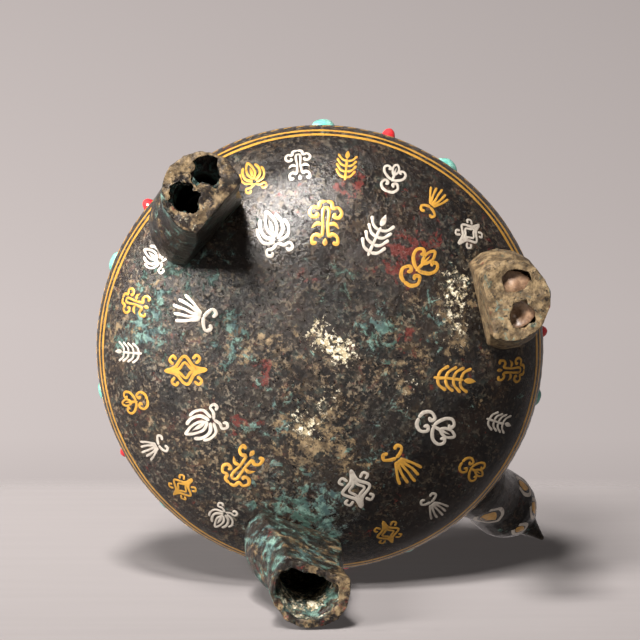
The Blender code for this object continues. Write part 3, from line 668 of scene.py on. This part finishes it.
def join_rings(faces, near, far, corners):
    """Add the faces between two rings of points, each given by the number of its first point."""
    for j in range(corners):
        beside = (j + 1) % corners
        faces.append((near + j, near + beside, far + beside, far + j))


def ribbon(line, width, surface, points, faces, pace=WIRE_PACE):
    """Add one wire along a line of (across, along) points; width is a number or a function of the share."""
    line = resample(line, pace)
    own_layer = np.full(len(line), WOBBLE_LAYER * len(points))
    deep = np.column_stack([line, own_layer])
    line = line + WOBBLE * np.column_stack([lattice_noise(deep, WOBBLE_SIZE, seed) for seed in WOBBLE_SEEDS])
    heading = np.gradient(line, axis=0)
    heading /= np.maximum(np.hypot(*heading.T), 1e-9)[:, None]
    side = np.stack([-heading[:, 1], heading[:, 0]], axis=1)
    section = wire_section(WIRE_MIDDLE)
    corners = len(section)
    first = len(points)
    count = len(line)
    for k, (middle, aside) in enumerate(zip(line, side)):
        share = k / (count - 1)
        half = (width(share) if callable(width) else width) / 2
        for offset, lift in section:
            spot = middle + aside * half * offset
            points.append(surface.place(spot[0], spot[1], lift))
    last = first + corners * (count - 1)
    for near in range(first, last, corners):
        join_rings(faces, near, near + corners, corners)
    faces.append(tuple(range(first, first + corners)))
    faces.append(tuple(reversed(range(last, last + corners))))


def rounded(width):
    """Wire width with round ends and a slow swell."""
    def at(share):
        end = min(share, 1 - share) / 0.06
        return width * (0.35 + 0.65 * min(1.0, sqrt(max(end, 0.0)))) * (1 + 0.1 * sin(9 * share))
    return at


def leaf_width(width):
    """Width of a pointed leaf or drop, fullest below its middle."""
    def at(share):
        return max(width * sin(pi * share**0.75) ** 0.9, 0.0002)
    return at


def curve(points, steps=8):
    """Smooth line through given points."""
    spots = [Vector(p) for p in points]
    spots = [2 * spots[0] - spots[1]] + spots + [2 * spots[-1] - spots[-2]]
    line = []
    for a, b, c, d in zip(spots, spots[1:], spots[2:], spots[3:]):
        for k in range(steps):
            t = k / steps
            bend = (a * 2 - b * 5 + c * 4 - d) * t**2
            twist = (b * 3 - a - c * 3 + d) * t**3
            line.append((b * 2 + (c - a) * t + bend + twist) / 2)
    return [tuple(p) for p in line + [spots[-2]]]


def mirrored(line):
    return [(-x, y) for x, y in line]


# Ornaments, each the same on both sides of its middle line, one unit tall above and below its middle.
# A stroke is its width and the points of its line, and a leaf where the width is below zero.
# On the middle line it is straight; elsewhere it is a curve, drawn with its mirror image.
STROKE = 0.145
FINE_STROKE = 0.12
LOTUS = (
    (FINE_STROKE, (0, -0.3), (0.2, 0.08), (0.17, 0.52), (0, 0.97)),
    (STROKE, (0.06, -0.4), (0.38, -0.14), (0.46, 0.3), (0.34, 0.68)),
    (FINE_STROKE, (0.1, -0.52), (0.52, -0.36), (0.66, 0.02), (0.6, 0.36)),
    (FINE_STROKE, (0, -0.58), (0.26, -0.72), (0.5, -0.68), (0.56, -0.88), (0.38, -0.97), (0.3, -0.84)),
    (-0.16, (0, -0.12), (0, 0.52)),
)
CLOUD_HEAD = (
    (STROKE, (0, 0.97), (0.24, 0.9), (0.3, 0.64), (0.52, 0.7), (0.66, 0.48), (0.54, 0.26), (0.34, 0.28),
     (0.38, 0.44)),
    (FINE_STROKE, (0, 0.7), (0.12, 0.58), (0.13, 0.3), (0.1, -0.1), (0.14, -0.62)),
    (STROKE, (0.14, -0.62), (0.34, -0.5), (0.52, -0.62), (0.5, -0.86), (0.32, -0.84)),
    (-0.17, (0.14, -0.12), (0.36, -0.04), (0.56, -0.22)),
    (-0.2, (0, -0.99), (0, -0.66)),
)
SPRIG = (
    (FINE_STROKE, (0, -0.97), (0, 0.36)),
    (-0.24, (0, 0.4), (0, 0.99)),
    *((FINE_STROKE, (0.04, y), (0.3, y + 0.12), (0.52, y + 0.46)) for y in (-0.8, -0.46, -0.12, 0.22)),
)
SCROLL_TREE = (
    (STROKE, (0, -0.97), (0.3, -0.88), (0.46, -0.6), (0.32, -0.34), (0.14, -0.46), (0.24, -0.6)),
    (STROKE, (0, -0.22), (0.26, -0.12), (0.52, 0.12), (0.6, 0.42), (0.44, 0.62), (0.26, 0.5), (0.36, 0.36)),
    (FINE_STROKE, (0, 0.1), (0.13, 0.34), (0.16, 0.66), (0, 0.98)),
    (-0.14, (0, -0.32), (0, 0.64)),
)
FAN = (
    (FINE_STROKE, (0, -0.4), (0, 0.98)),
    *((FINE_STROKE, (0.2 * x, -0.4), (0.75 * x, 0.2), (x, 1 - 0.62 * x)) for x in (0.3, 0.58)),
    (STROKE, (0, -0.52), (0.26, -0.6), (0.46, -0.76), (0.34, -0.95), (0.16, -0.88)),
)
STAR_LOZENGE = (
    (STROKE, (0, 0.97), (0.14, 0.44), (0.6, 0), (0.14, -0.44), (0, -0.97)),
    (FINE_STROKE, (0, 0.56), (0.09, 0.26), (0.32, 0), (0.09, -0.26), (0, -0.56)),
    (FINE_STROKE, (0.28, 0.5), (0.46, 0.68), (0.62, 0.52), (0.48, 0.36)),
    (FINE_STROKE, (0.28, -0.5), (0.46, -0.68), (0.62, -0.52), (0.48, -0.36)),
)
ORNAMENTS = (LOTUS, CLOUD_HEAD, SPRIG, SCROLL_TREE, FAN, STAR_LOZENGE)


def draw_ornament(strokes, surface, height, points, faces):
    """Lay an ornament's strokes on a surface as wires."""
    unit = height / 2
    for width, *line in strokes:
        shape = leaf_width(-width * unit) if width < 0 else rounded(width * unit)
        lines = [line]
        if any(x for x, _ in line):
            line = curve(line)
            lines = [line, mirrored(line)]
        for line in lines:
            ribbon([(x * unit, y * unit) for x, y in line], shape, surface, points, faces)


# Arcs of ornaments on the underside between the legs: profile angle, height, first metal,
# first turn, step and count, with the angles in degrees
UNDER_ARCS = (
    (-33.0, 0.0168, 0, 207.0, 14.2, 6),
    (-33.0, 0.0168, 1, 168.6, -15.0, 7),
    (-33.0, 0.0168, 0, 321.8, 16.2, 5),
    (-54.0, 0.0212, 1, 207.5, 22.3, 4),
    (-54.5, 0.0212, 1, 157.7, -24.8, 4),
    (-54.0, 0.0212, 0, 325.9, 22.0, 4),
)
METALS = (("gold", GOLD_WIRE), ("silver", SILVER_WIRE))


def add_wires(name, sets, body="vessel"):
    """One mesh of wires for each metal."""
    for metal, wire in METALS:
        mesh = mesh_from(f"{name}_{metal}", *sets[metal])
        new_piece(f"{name}_{metal}", mesh, wire, body=body)


def empty_sets():
    """Lists of points and faces for each metal."""
    return {metal: ([], []) for metal, _ in METALS}


def set_in_body(sets):
    """Let the wires follow the waves of the cast body."""
    for points, _ in sets.values():
        spots = np.array([tuple(p) for p in points])
        middle = np.array(AXIS) + np.array((0.0, 0.0, EQUATOR))
        out = (spots - middle) / np.array((RADIUS, RADIUS, BOWL_DEPTH)) ** 2
        out /= np.linalg.norm(out, axis=1)[:, None]
        points[:] = [tuple(p) for p in spots + out * dent(spots)[:, None]]


def add_under_inlay():
    """Arcs of ornaments on the bowl, gold and silver in turn."""
    sets = empty_sets()
    drawn = 0
    for angle, height, metal, first, step, count in UNDER_ARCS:
        for k in range(count):
            name = METALS[(k + metal) % 2][0]
            surface = Revolved(radians(first) + k * radians(step), radians(angle))
            draw_ornament(ORNAMENTS[drawn % len(ORNAMENTS)], surface, height, *sets[name])
            drawn += 1
    set_in_body(sets)
    add_wires("underside_inlay", sets)


SHOULDER_COUNT = 26
SHOULDER_ANGLE = radians(35)
SHOULDER_HEIGHT = 0.015
SPOUT_ROOM = radians(20)


def add_shoulder_inlay():
    """A ring of ornaments between the stones and the neck, with a gap at the spout."""
    sets = empty_sets()
    for k in range(SHOULDER_COUNT):
        turn = 2 * pi * (k + 0.5) / SHOULDER_COUNT
        if min(turn, 2 * pi - turn) < SPOUT_ROOM:
            continue
        surface = Revolved(turn, SHOULDER_ANGLE)
        draw_ornament((FAN, CLOUD_HEAD)[k % 2], surface, SHOULDER_HEIGHT, *sets[METALS[k % 2][0]])
    set_in_body(sets)
    add_wires("shoulder_inlay", sets)


# Dashes along the widest circle: metal, steps from one to the next, place on the profile,
# end of the stroke from its middle, and width
DASH_STEPS = 110
DASHES = (
    ("gold", 1, radians(-4.5), (0.0019, 0.0011), 0.0012),
    ("silver", 4, radians(3.5), (0.0, 0.0011), 0.001),
)


def add_dashes():
    """A row of slanting gold strokes, with sparser upright silver ones above."""
    sets = empty_sets()
    for k in range(DASH_STEPS):
        for metal, each, angle, (x, y), width in DASHES:
            if k % each == 0:
                surface = Revolved(2 * pi * k / DASH_STEPS, angle)
                ribbon([(-x, -y), (x, y)], rounded(width), surface, *sets[metal])
    set_in_body(sets)
    add_wires("waist_inlay", sets)


RING_STEPS = 720
SHOULDER_RING_ANGLE = radians(22)
NECK_RING_ANGLE = radians(52)
SHOULDER_RING_WIDTH = 0.0013
PACKED_LINE_GROWTH = 1.5


def add_ring(name, share, width, replaces):
    """Gold wire round the body at a share of the height of its half, with a slowly changing width."""
    angle = np.arcsin(share)
    section = wire_section(RING_MIDDLE)
    corners = len(section)
    points, faces = [], []
    for k in range(RING_STEPS):
        across = 2 * pi * k / RING_STEPS
        spot = Revolved(across, angle)
        wave = 1 + 0.1 * sin(across * 23) + 0.07 * sin(across * 57 + 1)
        for offset, lift in section:
            points.append(spot.place(0.0, offset * width / 2 * wave, lift))
    for k in range(RING_STEPS):
        join_rings(faces, corners * k, corners * ((k + 1) % RING_STEPS), corners)
    set_in_body({"gold": (points, faces)})
    new_piece(name, mesh_from(name, points, faces), GOLD_WIRE, replaces=replaces)


def add_lines():
    """The two gold lines under the widest circle, and two more round the shoulder."""
    for name, node in (("lower", "gold_line_lower"), ("upper", "gold_line_upper")):
        low, high = (Vector(corner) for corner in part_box(node))
        middle = (low.z + high.z) / 2 - EQUATOR
        width = (high.z - low.z) * PACKED_LINE_GROWTH
        add_ring(f"gold_ring_{name}", middle / BOWL_DEPTH, width, (node,))
    add_ring("gold_ring_shoulder", sin(SHOULDER_RING_ANGLE), SHOULDER_RING_WIDTH, ())
    add_ring("gold_ring_neck", sin(NECK_RING_ANGLE), SHOULDER_RING_WIDTH, ())


# Stones


STONE_MATERIALS = {"turquoise": TURQUOISE, "coral": CORAL}
STONE_SWELL = {"turquoise": 0.0005, "coral": 0.00025}
STONE_GROWTH = 0.00025
STONE_LUMP = 0.0045
STONE_SEED = 50


def add_stones():
    """Each packed stone, rounded and made uneven."""
    for node in sorted(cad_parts):
        kind, _, number = node.partition("_")
        if kind not in STONE_MATERIALS:
            continue
        mesh = recast(node, voxel=0.00035, smooth=14)
        points = read_points(mesh)
        swell = layered_noise(points, STONE_LUMP, STONE_SEED + int(number), 2) * STONE_SWELL[kind]
        write_points(mesh, points + read_normals(mesh) * (swell + STONE_GROWTH)[:, None])
        new_piece(f"{node}_stone", mesh, STONE_MATERIALS[kind], replaces=(node,))


# Legs, spout, handle and lid


# Growth on each leg's sides: crust, green, red, earth and polish; then what its foot face and its hollows add
# in crust, green and earth; and how far its holes are worn
LEG_PATINA = {
    "leg_rear": ((0.04, 0.44, 0.08, 0.24, 0.7), (0.34, -0.26, 0.48), (0.1, 0.1, 0.1), 0.0038),
    "leg_front_left": ((0.04, 0.54, 0.16, 0.42, 0.5), (0.06, -0.24, 0.14), (0.56, 0.1, 0.1), 0.0014),
    "leg_front_right": ((0.0, 0.28, 0.2, 0.98, 0.6), (0.04, 0.06, 0.1), (0.06, 0.1, 0.1), 0.0026),
}
FOOT_TOP = 0.01
LEG_DENTS = 0.0003
FOOT_DENTS = 0.0004
STREAK_NOISE = (0.005, 83)
STREAK_STRETCH = (1.0, 1.0, 0.3)
HOLLOW_START = 0.0002
HOLLOW_REACH = 0.04
WEAR_NOISE = (0.0042, 91)
WEAR_NEAR = 0.0006
WEAR_FAR = 0.0034
CORE_LUMP = 0.0018
CORE_HOLLOW = -0.003
CORE_REACH = 0.0034
CORE_UNEVEN = 0.0005
CORE_NOISE = (0.006, 61)
CORE_MIDDLE = (0.45, 0.55)


def foot_share(points):
    """1 on the lower part of a foot, 0 above it."""
    return 1 - ramp(points[:, 2], 0.4 * FOOT_TOP, FOOT_TOP)


def hollow_share(mesh):
    """1 on the walls of holes, whose normals look at another wall of the same piece."""
    tree = tree_of(mesh)
    share = []
    for point, normal in zip(read_points(mesh), read_normals(mesh)):
        start = Vector(point + normal * HOLLOW_START)
        share.append(tree.ray_cast(start, Vector(normal), HOLLOW_REACH)[0] is not None)
    return np.array(share, float)


def wear_holes(mesh, hollow, most):
    """Break the edges of the holes in a foot to a ragged outline."""
    points = read_points(mesh)
    normals = read_normals(mesh)
    low = points[:, 2] < FOOT_TOP
    walls = np.flatnonzero(low & (hollow > 0))
    tree = KDTree(len(walls))
    for k in walls:
        tree.insert(points[k], k)
    tree.balance()
    level = points * np.array((1.0, 1.0, 0.0))
    depth = most * ramp(layered_noise(level, *WEAR_NOISE, 3), -0.25, 0.35)
    worn = points.copy()
    for k in np.flatnonzero(low):
        _, wall, away = tree.find(points[k])
        worn[k] -= normals[wall] * depth[wall] * (1 - ramp(away, WEAR_NEAR, WEAR_FAR))
    write_points(mesh, worn)


def add_legs():
    """The three hollow legs, with streaks down their sides and worn foot holes."""
    for node, (sides, face_adds, hollow_adds, wear) in LEG_PATINA.items():
        mesh = recast(node, voxel=0.0006, smooth=4)
        points = read_points(mesh)
        foot = foot_share(points)
        face = foot * ramp(-read_normals(mesh)[:, 2], 0.4, 0.9)
        hollow = hollow_share(mesh)
        streaks = layered_noise(points * np.array(STREAK_STRETCH), *STREAK_NOISE, 3)
        adds = [face * more + hollow * inner for more, inner in zip(face_adds, hollow_adds)]
        crust, green, red, earth, polish = sides
        crust = crust + adds[0]
        green = green + adds[1] - 0.15 * streaks
        earth = earth + adds[2] + 0.3 * streaks
        values = patina(mesh, crust, green, red, earth, polish)
        weather(mesh, values, LEG_DENTS + FOOT_DENTS * foot, growth=0.0003, grain=0.006)
        wear_holes(mesh, hollow, wear)
        new_piece(f"{node}_cast", mesh, BURIED_BRONZE, replaces=(node,))


def add_clay_core():
    """Clay left in the front right leg: a lump in its upper foot hole and a hollow in its lower one."""
    core = recast("casting_core", voxel=0.0006, smooth=4)
    points = read_points(core)
    upward = points @ np.array(UP)
    upper = ramp(upward, *np.quantile(upward, CORE_MIDDLE))
    shift = CORE_UNEVEN * layered_noise(points, *CORE_NOISE, 3)
    for share, lump in ((upper, CORE_LUMP), (1 - upper, CORE_HOLLOW)):
        middle = np.average(points[:, :2], axis=0, weights=share)
        away = np.hypot(*(points[:, :2] - middle).T)
        shift += share * lump * np.exp(-((away / CORE_REACH) ** 2))
    points[:, 2] -= shift * foot_share(points)
    write_points(core, points)
    new_piece("clay_core", core, CLAY, replaces=("casting_core",))


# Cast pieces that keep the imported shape: node, voxel and body
CASTINGS = (
    ("spout", 0.0006, "vessel"),
    ("handle", 0.0007, "vessel"),
    ("lid", 0.0008, "lid_assembly"),
    ("lid_knob", 0.0005, "lid_assembly"),
    ("beak_upper", 0.0003, "beak"),
)
PINS = ("beak_pin", "handle_rivet_front", "handle_rivet_rear")


def add_castings():
    """The castings and pins with softened edges; returns the castings' search trees."""
    trees = {}
    for node, voxel, body in CASTINGS:
        mesh = recast(node, voxel, smooth=6)
        values = patina(mesh, crust=-0.12, green=0.14, red=0.08, earth=0.0, polish=1.0)
        weather(mesh, values, dents=0.00012, growth=0.0003)
        trees[node] = tree_of(mesh)
        new_piece(f"{node}_cast", mesh, DARK_BRONZE, body=body, replaces=(node,))
    for node in PINS:
        mesh = recast(node, voxel=0.0003, smooth=3)
        patina(mesh, crust=-0.2, polish=0.8)
        new_piece(f"{node}_cast", mesh, BRONZE, replaces=(node,))
    return trees


# Feather drops on the spout, in rows from the root to the beak: reach from the body's axis, height and pitch
# of the row, then each drop's turn about the spout in degrees and its length
FEATHER_ROWS = (
    (0.1052, 0.1205, radians(50), ((-155, 0.0175), (-40, 0.0175), (65, 0.014))),
    (0.1165, 0.135, radians(48), ((114, 0.012), (20, 0.012), (-75, 0.012))),
    (0.129, 0.145, radians(25), ((139, 0.0105), (-170, 0.0098), (50, 0.0105), (-55, 0.0105))),
)
DROP_WIRE = 0.0018
DROP_PACE = 0.0003


def feather(length):
    """Outline of a drop, open towards the spout's root."""
    half = length / 2
    wide = 0.38 * length
    arc = curve([(0.55 * wide, -half), (wide, -0.2 * half), (0.72 * wide, 0.62 * half), (0.0, half)])
    return arc + mirrored(arc)[::-1]


def add_spout_inlay(tree):
    """Drops on the spout: a gold almond inside a silver outline."""
    sets = empty_sets()
    for reach, height, pitch, drops in FEATHER_ROWS:
        heading = Vector((cos(pitch), 0.0, sin(pitch)))
        below = heading.cross(Y)
        for degrees, length in drops:
            out = below * -cos(radians(degrees)) + Y * sin(radians(degrees))
            surface = Draped(tree, AXIS + Vector((reach, 0.0, height)), heading.cross(out) * -1, heading)
            ribbon(feather(length), DROP_WIRE, surface, *sets["silver"], pace=DROP_PACE)
            almond = [(0.0, -0.42 * length), (0.0, 0.36 * length)]
            ribbon(almond, leaf_width(0.46 * length), surface, *sets["gold"], pace=DROP_PACE)
    add_wires("spout_inlay", sets)


LID_COUNT = 16
LID_RADIUS = 0.031
LID_HEIGHT = 0.0125
LID_CIRCLES = (0.0215, 0.0405)
LID_WIRE = 0.0011
CIRCLE_STEPS = 180


def add_lid_inlay(tree):
    """A ring of ornaments round the lid between two wires."""
    sets = empty_sets()
    _, high = (Vector(corner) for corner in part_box("lid"))
    top = Vector((AXIS.x, 0.0, high.z))
    for k in range(LID_COUNT):
        turn = 2 * pi * k / LID_COUNT
        out = Vector((cos(turn), sin(turn), 0.0))
        surface = Draped(tree, top + out * LID_RADIUS, out.cross(Z) * -1, out)
        draw_ornament((CLOUD_HEAD, LOTUS)[k % 2], surface, LID_HEIGHT, *sets[METALS[k % 2][0]])
    surface = Draped(tree, top, X, Y)
    turns = [2 * pi * k / CIRCLE_STEPS for k in range(CIRCLE_STEPS + 1)]
    for radius in LID_CIRCLES:
        ribbon([(radius * cos(a), radius * sin(a)) for a in turns], LID_WIRE, surface, *sets["gold"])
    add_wires("lid_inlay", sets, body="lid_assembly")


# Handle's arch: height of its feet, half its thickness at the feet and at the top, and its leaves' turns
ARCH_FOOT = 0.1336
ARCH_FOOT_HALF = 0.007
ARCH_TOP_HALF = 0.0048
ARCH_TURNS = range(22, 159, 8)
LEAF_HALF = 0.0038
LEAF_WIDTH = 0.003
LEAF_ARC_HALF = 0.0048
LEAF_ARC_ASIDE = 0.0042
LEAF_ARC_BEND = 0.12
LEAF_ARC_WIRE = 0.0009
LEAF_ARC_STEPS = 13


def add_handle_inlay(tree):
    """Gold leaves along the top of the arch, each between two silver arcs."""
    sets = empty_sets()
    low, high = (Vector(corner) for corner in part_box("handle"))
    half = (high.x - low.x) / 2 - ARCH_FOOT_HALF
    rise = high.z - ARCH_FOOT - ARCH_TOP_HALF
    for turn in np.radians(ARCH_TURNS):
        origin = Vector((AXIS.x + half * cos(turn), 0.0, ARCH_FOOT + rise * sin(turn)))
        along = Vector((-half * sin(turn), 0.0, rise * cos(turn)))
        surface = Draped(tree, origin, Y, along)
        ribbon([(0.0, -LEAF_HALF), (0.0, LEAF_HALF)], leaf_width(LEAF_WIDTH), surface, *sets["gold"])
        for side in (-1, 1):
            steps = np.linspace(-LEAF_ARC_HALF, LEAF_ARC_HALF, LEAF_ARC_STEPS)
            arc = [(side * (LEAF_ARC_ASIDE - LEAF_ARC_BEND * abs(t) ** 1.5), t) for t in steps]
            ribbon(arc, LEAF_ARC_WIRE, surface, *sets["silver"])
    add_wires("handle_inlay", sets)


# Stage


FLOOR_STREAKS = Vector((4.0, 60.0, 1.0))
FLOOR_SHADE = 0.97
FLOOR_ROUGHNESS = 0.9


def stage_material(name, colour, edges):
    """Pale paper with faint streaks that shows only from its face.
    It thins out to nothing between two distances from its middle, given for each of its two directions."""
    n = Nodes(bpy.data.materials.new(name))
    places = n.add("ShaderNodeSeparateXYZ", {0: n.where})
    facing = n.add("ShaderNodeNewGeometry")
    share = n.math("SUBTRACT", 1.0, facing.outputs["Backfacing"])
    for axis, (start, end) in zip("XY", edges):
        away = n.math("ABSOLUTE", places.outputs[axis])
        share = n.times(share, n.steps(away, start, end, 1.0, 0.0))
    stretch = n.add("ShaderNodeMapping", {"Vector": n.where, "Scale": FLOOR_STREAKS})
    inputs = {"Vector": stretch.outputs["Vector"], "Scale": 2.0, "Detail": 5.0}
    streaks = n.add("ShaderNodeTexNoise", inputs)
    shade = n.steps(streaks.outputs["Fac"], 0.35, 0.65)
    n.finish(n.mix(shade, tuple(FLOOR_SHADE * c for c in colour), colour), FLOOR_ROUGHNESS)
    clear = n.add("ShaderNodeBsdfTransparent")
    paper = n.shader.outputs["BSDF"]
    choose = n.add("ShaderNodeMixShader", {"Fac": share, 1: clear.outputs["BSDF"], 2: paper})
    n.fill(n.tree.nodes["Material Output"].inputs["Surface"], choose.outputs["Shader"])
    return n.owner


def add_sheet(name, middle, across, along, corners, faces, material):
    """Stage sheet about a point, with its corners given along across, along and across x along."""
    mesh = bpy.data.meshes.new(name)
    mesh.from_pydata(corners, [], faces)
    mesh.materials.append(material)
    sheet = bpy.data.objects.new(name, mesh)
    turn = Matrix((across, along, across.cross(along))).transposed().to_4x4()
    turn.translation = middle
    sheet.matrix_world = turn
    show(sheet)
    for ray in ("visible_diffuse", "visible_glossy", "visible_shadow", "visible_transmission"):
        setattr(sheet, ray, False)
    return sheet


# The floor of the photograph is a stack of narrow slats that face the ground,
# so that only a view from below shows it
CAMERA_DIP = radians(6.0)
FLOOR_REACH = 0.1085
FLOOR_BEHIND = 0.03
SLATS = 1500
SLAT_OVERLAP = 1.03
LYING_EDGES = ((0.18, 0.212), (0.185, 0.235))
STANDING_EDGES = ((0.7, 1.6), (0.7, 1.6))
LYING_COLOUR = (0.116, 0.107, 0.109)
STANDING_COLOUR = (0.52, 0.48, 0.465)


def add_stage():
    """The patch of floor that the ewer lies on in the photograph, and the floor that it stands on."""
    lift = (UP * cos(CAMERA_DIP) - FORWARD * sin(CAMERA_DIP)).normalized()
    back = RIGHT.cross(lift) * -1
    middle = AXIS + Z * EQUATOR - lift * FLOOR_REACH + back * FLOOR_BEHIND
    half_width, half_depth = (end for _, end in LYING_EDGES)
    eye_height = (EYE - middle).dot(lift)
    eye_depth = (EYE - middle).dot(back)
    pitch = 2 * half_depth / SLATS
    corners = []
    faces = []
    for k in range(SLATS):
        depth = -half_depth + (k + 0.5) * pitch
        height = SLAT_OVERLAP * pitch * eye_height / (depth - eye_depth)
        first = len(corners)
        corners += [(-half_width, depth, 0), (half_width, depth, 0)]
        corners += [(half_width, depth, height), (-half_width, depth, height)]
        faces.append((first, first + 1, first + 2, first + 3))
    material = stage_material("lying floor", LYING_COLOUR, LYING_EDGES)
    lying = add_sheet("lying_floor", middle, RIGHT, back, corners, faces, material)
    reach = STANDING_EDGES[0][1]
    corners = [(-reach, -reach, 0), (reach, -reach, 0), (reach, reach, 0), (-reach, reach, 0)]
    material = stage_material("standing floor", STANDING_COLOUR, STANDING_EDGES)
    add_sheet("standing_floor", Vector((0, 0, 0)), X, Y, corners, [(0, 1, 2, 3)], material)
    return lying


WARM_WHITE = (1.0, 0.96, 0.91)
HEART_DROP = 0.02

# Places from the ewer's heart: right, up and back in the photograph; then size in metres and power in watts
LIGHTS = {
    "key softbox": (-1.53, 0.82, 1.05, 0.85, 98.0),
    "top softbox": (-0.22, 0.74, 0.8, 0.22, 26.0),
    "floor light": (-0.14, 1.0, 0.62, 0.2, 86.0),
    "floor bounce": (-0.62, -0.62, 0.52, 0.45, 3.0),
    "front fill": (0.5, -0.3, 1.1, 0.5, 2.5),
    "standing light": (0.0, -0.1, -1.5, 0.25, 10.0),
}

# Changes of the paper's brightness: direction, share of it at which each starts and ends, and the two factors
PAPER_FADES = (
    (RIGHT, -0.16, 0.16, 1.1, 0.9),
    (UP, 0.0, 0.16, 1.0, 0.84),
    (UP, -0.086, -0.058, 0.9, 1.0),
    (UP, -0.14, -0.08, 1.06, 1.0),
    (FORWARD, -0.75, -0.1, 0.12, 1.0),
    (RIGHT, 0.2, 0.9, 1.0, 0.4),
    (UP, 0.3, 0.95, 1.0, 0.4),
    (UP, -0.9, -0.25, 0.4, 1.0),
)


def add_light(name, place, aim, size, power):
    data = bpy.data.lights.new(name, "AREA")
    data.shape = "DISK"
    data.size = size
    data.energy = power
    data.color = WARM_WHITE
    lamp = bpy.data.objects.new(name, data)
    lamp.location = place
    lamp.rotation_euler = (aim - place).to_track_quat("-Z", "Y").to_euler()
    show(lamp)
    return lamp


def add_lights(lying_floor):
    """Studio lights, and the floor light for the photograph's floor alone."""
    heart = AXIS + Z * (EQUATOR - HEART_DROP)
    for name, (right, up, back, size, power) in LIGHTS.items():
        place = heart + RIGHT * right + UP * up - FORWARD * back
        lamp = add_light(name, place, heart, size, power)
        if name == "floor light":
            lit = bpy.data.collections.new("lit by the floor light")
            lit.objects.link(lying_floor)
            lamp.light_linking.receiver_collection = lit


def add_paper():
    """Pale paper all round, brighter and darker by direction."""
    world = bpy.data.worlds.new("studio")
    bpy.context.scene.world = world
    n = Nodes(world, "Background", "Generated")
    strength = 1.0
    for direction, *span in PAPER_FADES:
        dot = n.add("ShaderNodeVectorMath", {0: n.where, 1: direction}, operation="DOT_PRODUCT")
        strength = n.times(n.steps(dot.outputs["Value"], *span, "LINEAR"), strength)
    n.fill(n.shader.inputs["Color"], PAPER)
    n.fill(n.shader.inputs["Strength"], strength)


def add_camera():
    data = bpy.data.cameras.new("photo camera")
    data.sensor_width = SENSOR
    data.lens = FOCAL_PIXELS / PHOTO_SIDE * SENSOR
    data.clip_start = NEAREST
    camera = bpy.data.objects.new("photo camera", data)
    turn = Matrix((RIGHT, UP, -FORWARD)).transposed().to_4x4()
    turn.translation = EYE
    camera.matrix_world = turn
    show(camera)
    bpy.context.scene.camera = camera
    bpy.context.scene.view_settings.view_transform = "Standard"


add_camera()
add_lights(add_stage())
add_paper()
add_body()
add_under_inlay()
add_shoulder_inlay()
add_lines()
add_dashes()
add_stones()
add_legs()
add_clay_core()
trees = add_castings()
add_spout_inlay(trees["spout"])
add_lid_inlay(trees["lid"])
add_handle_inlay(trees["handle"])
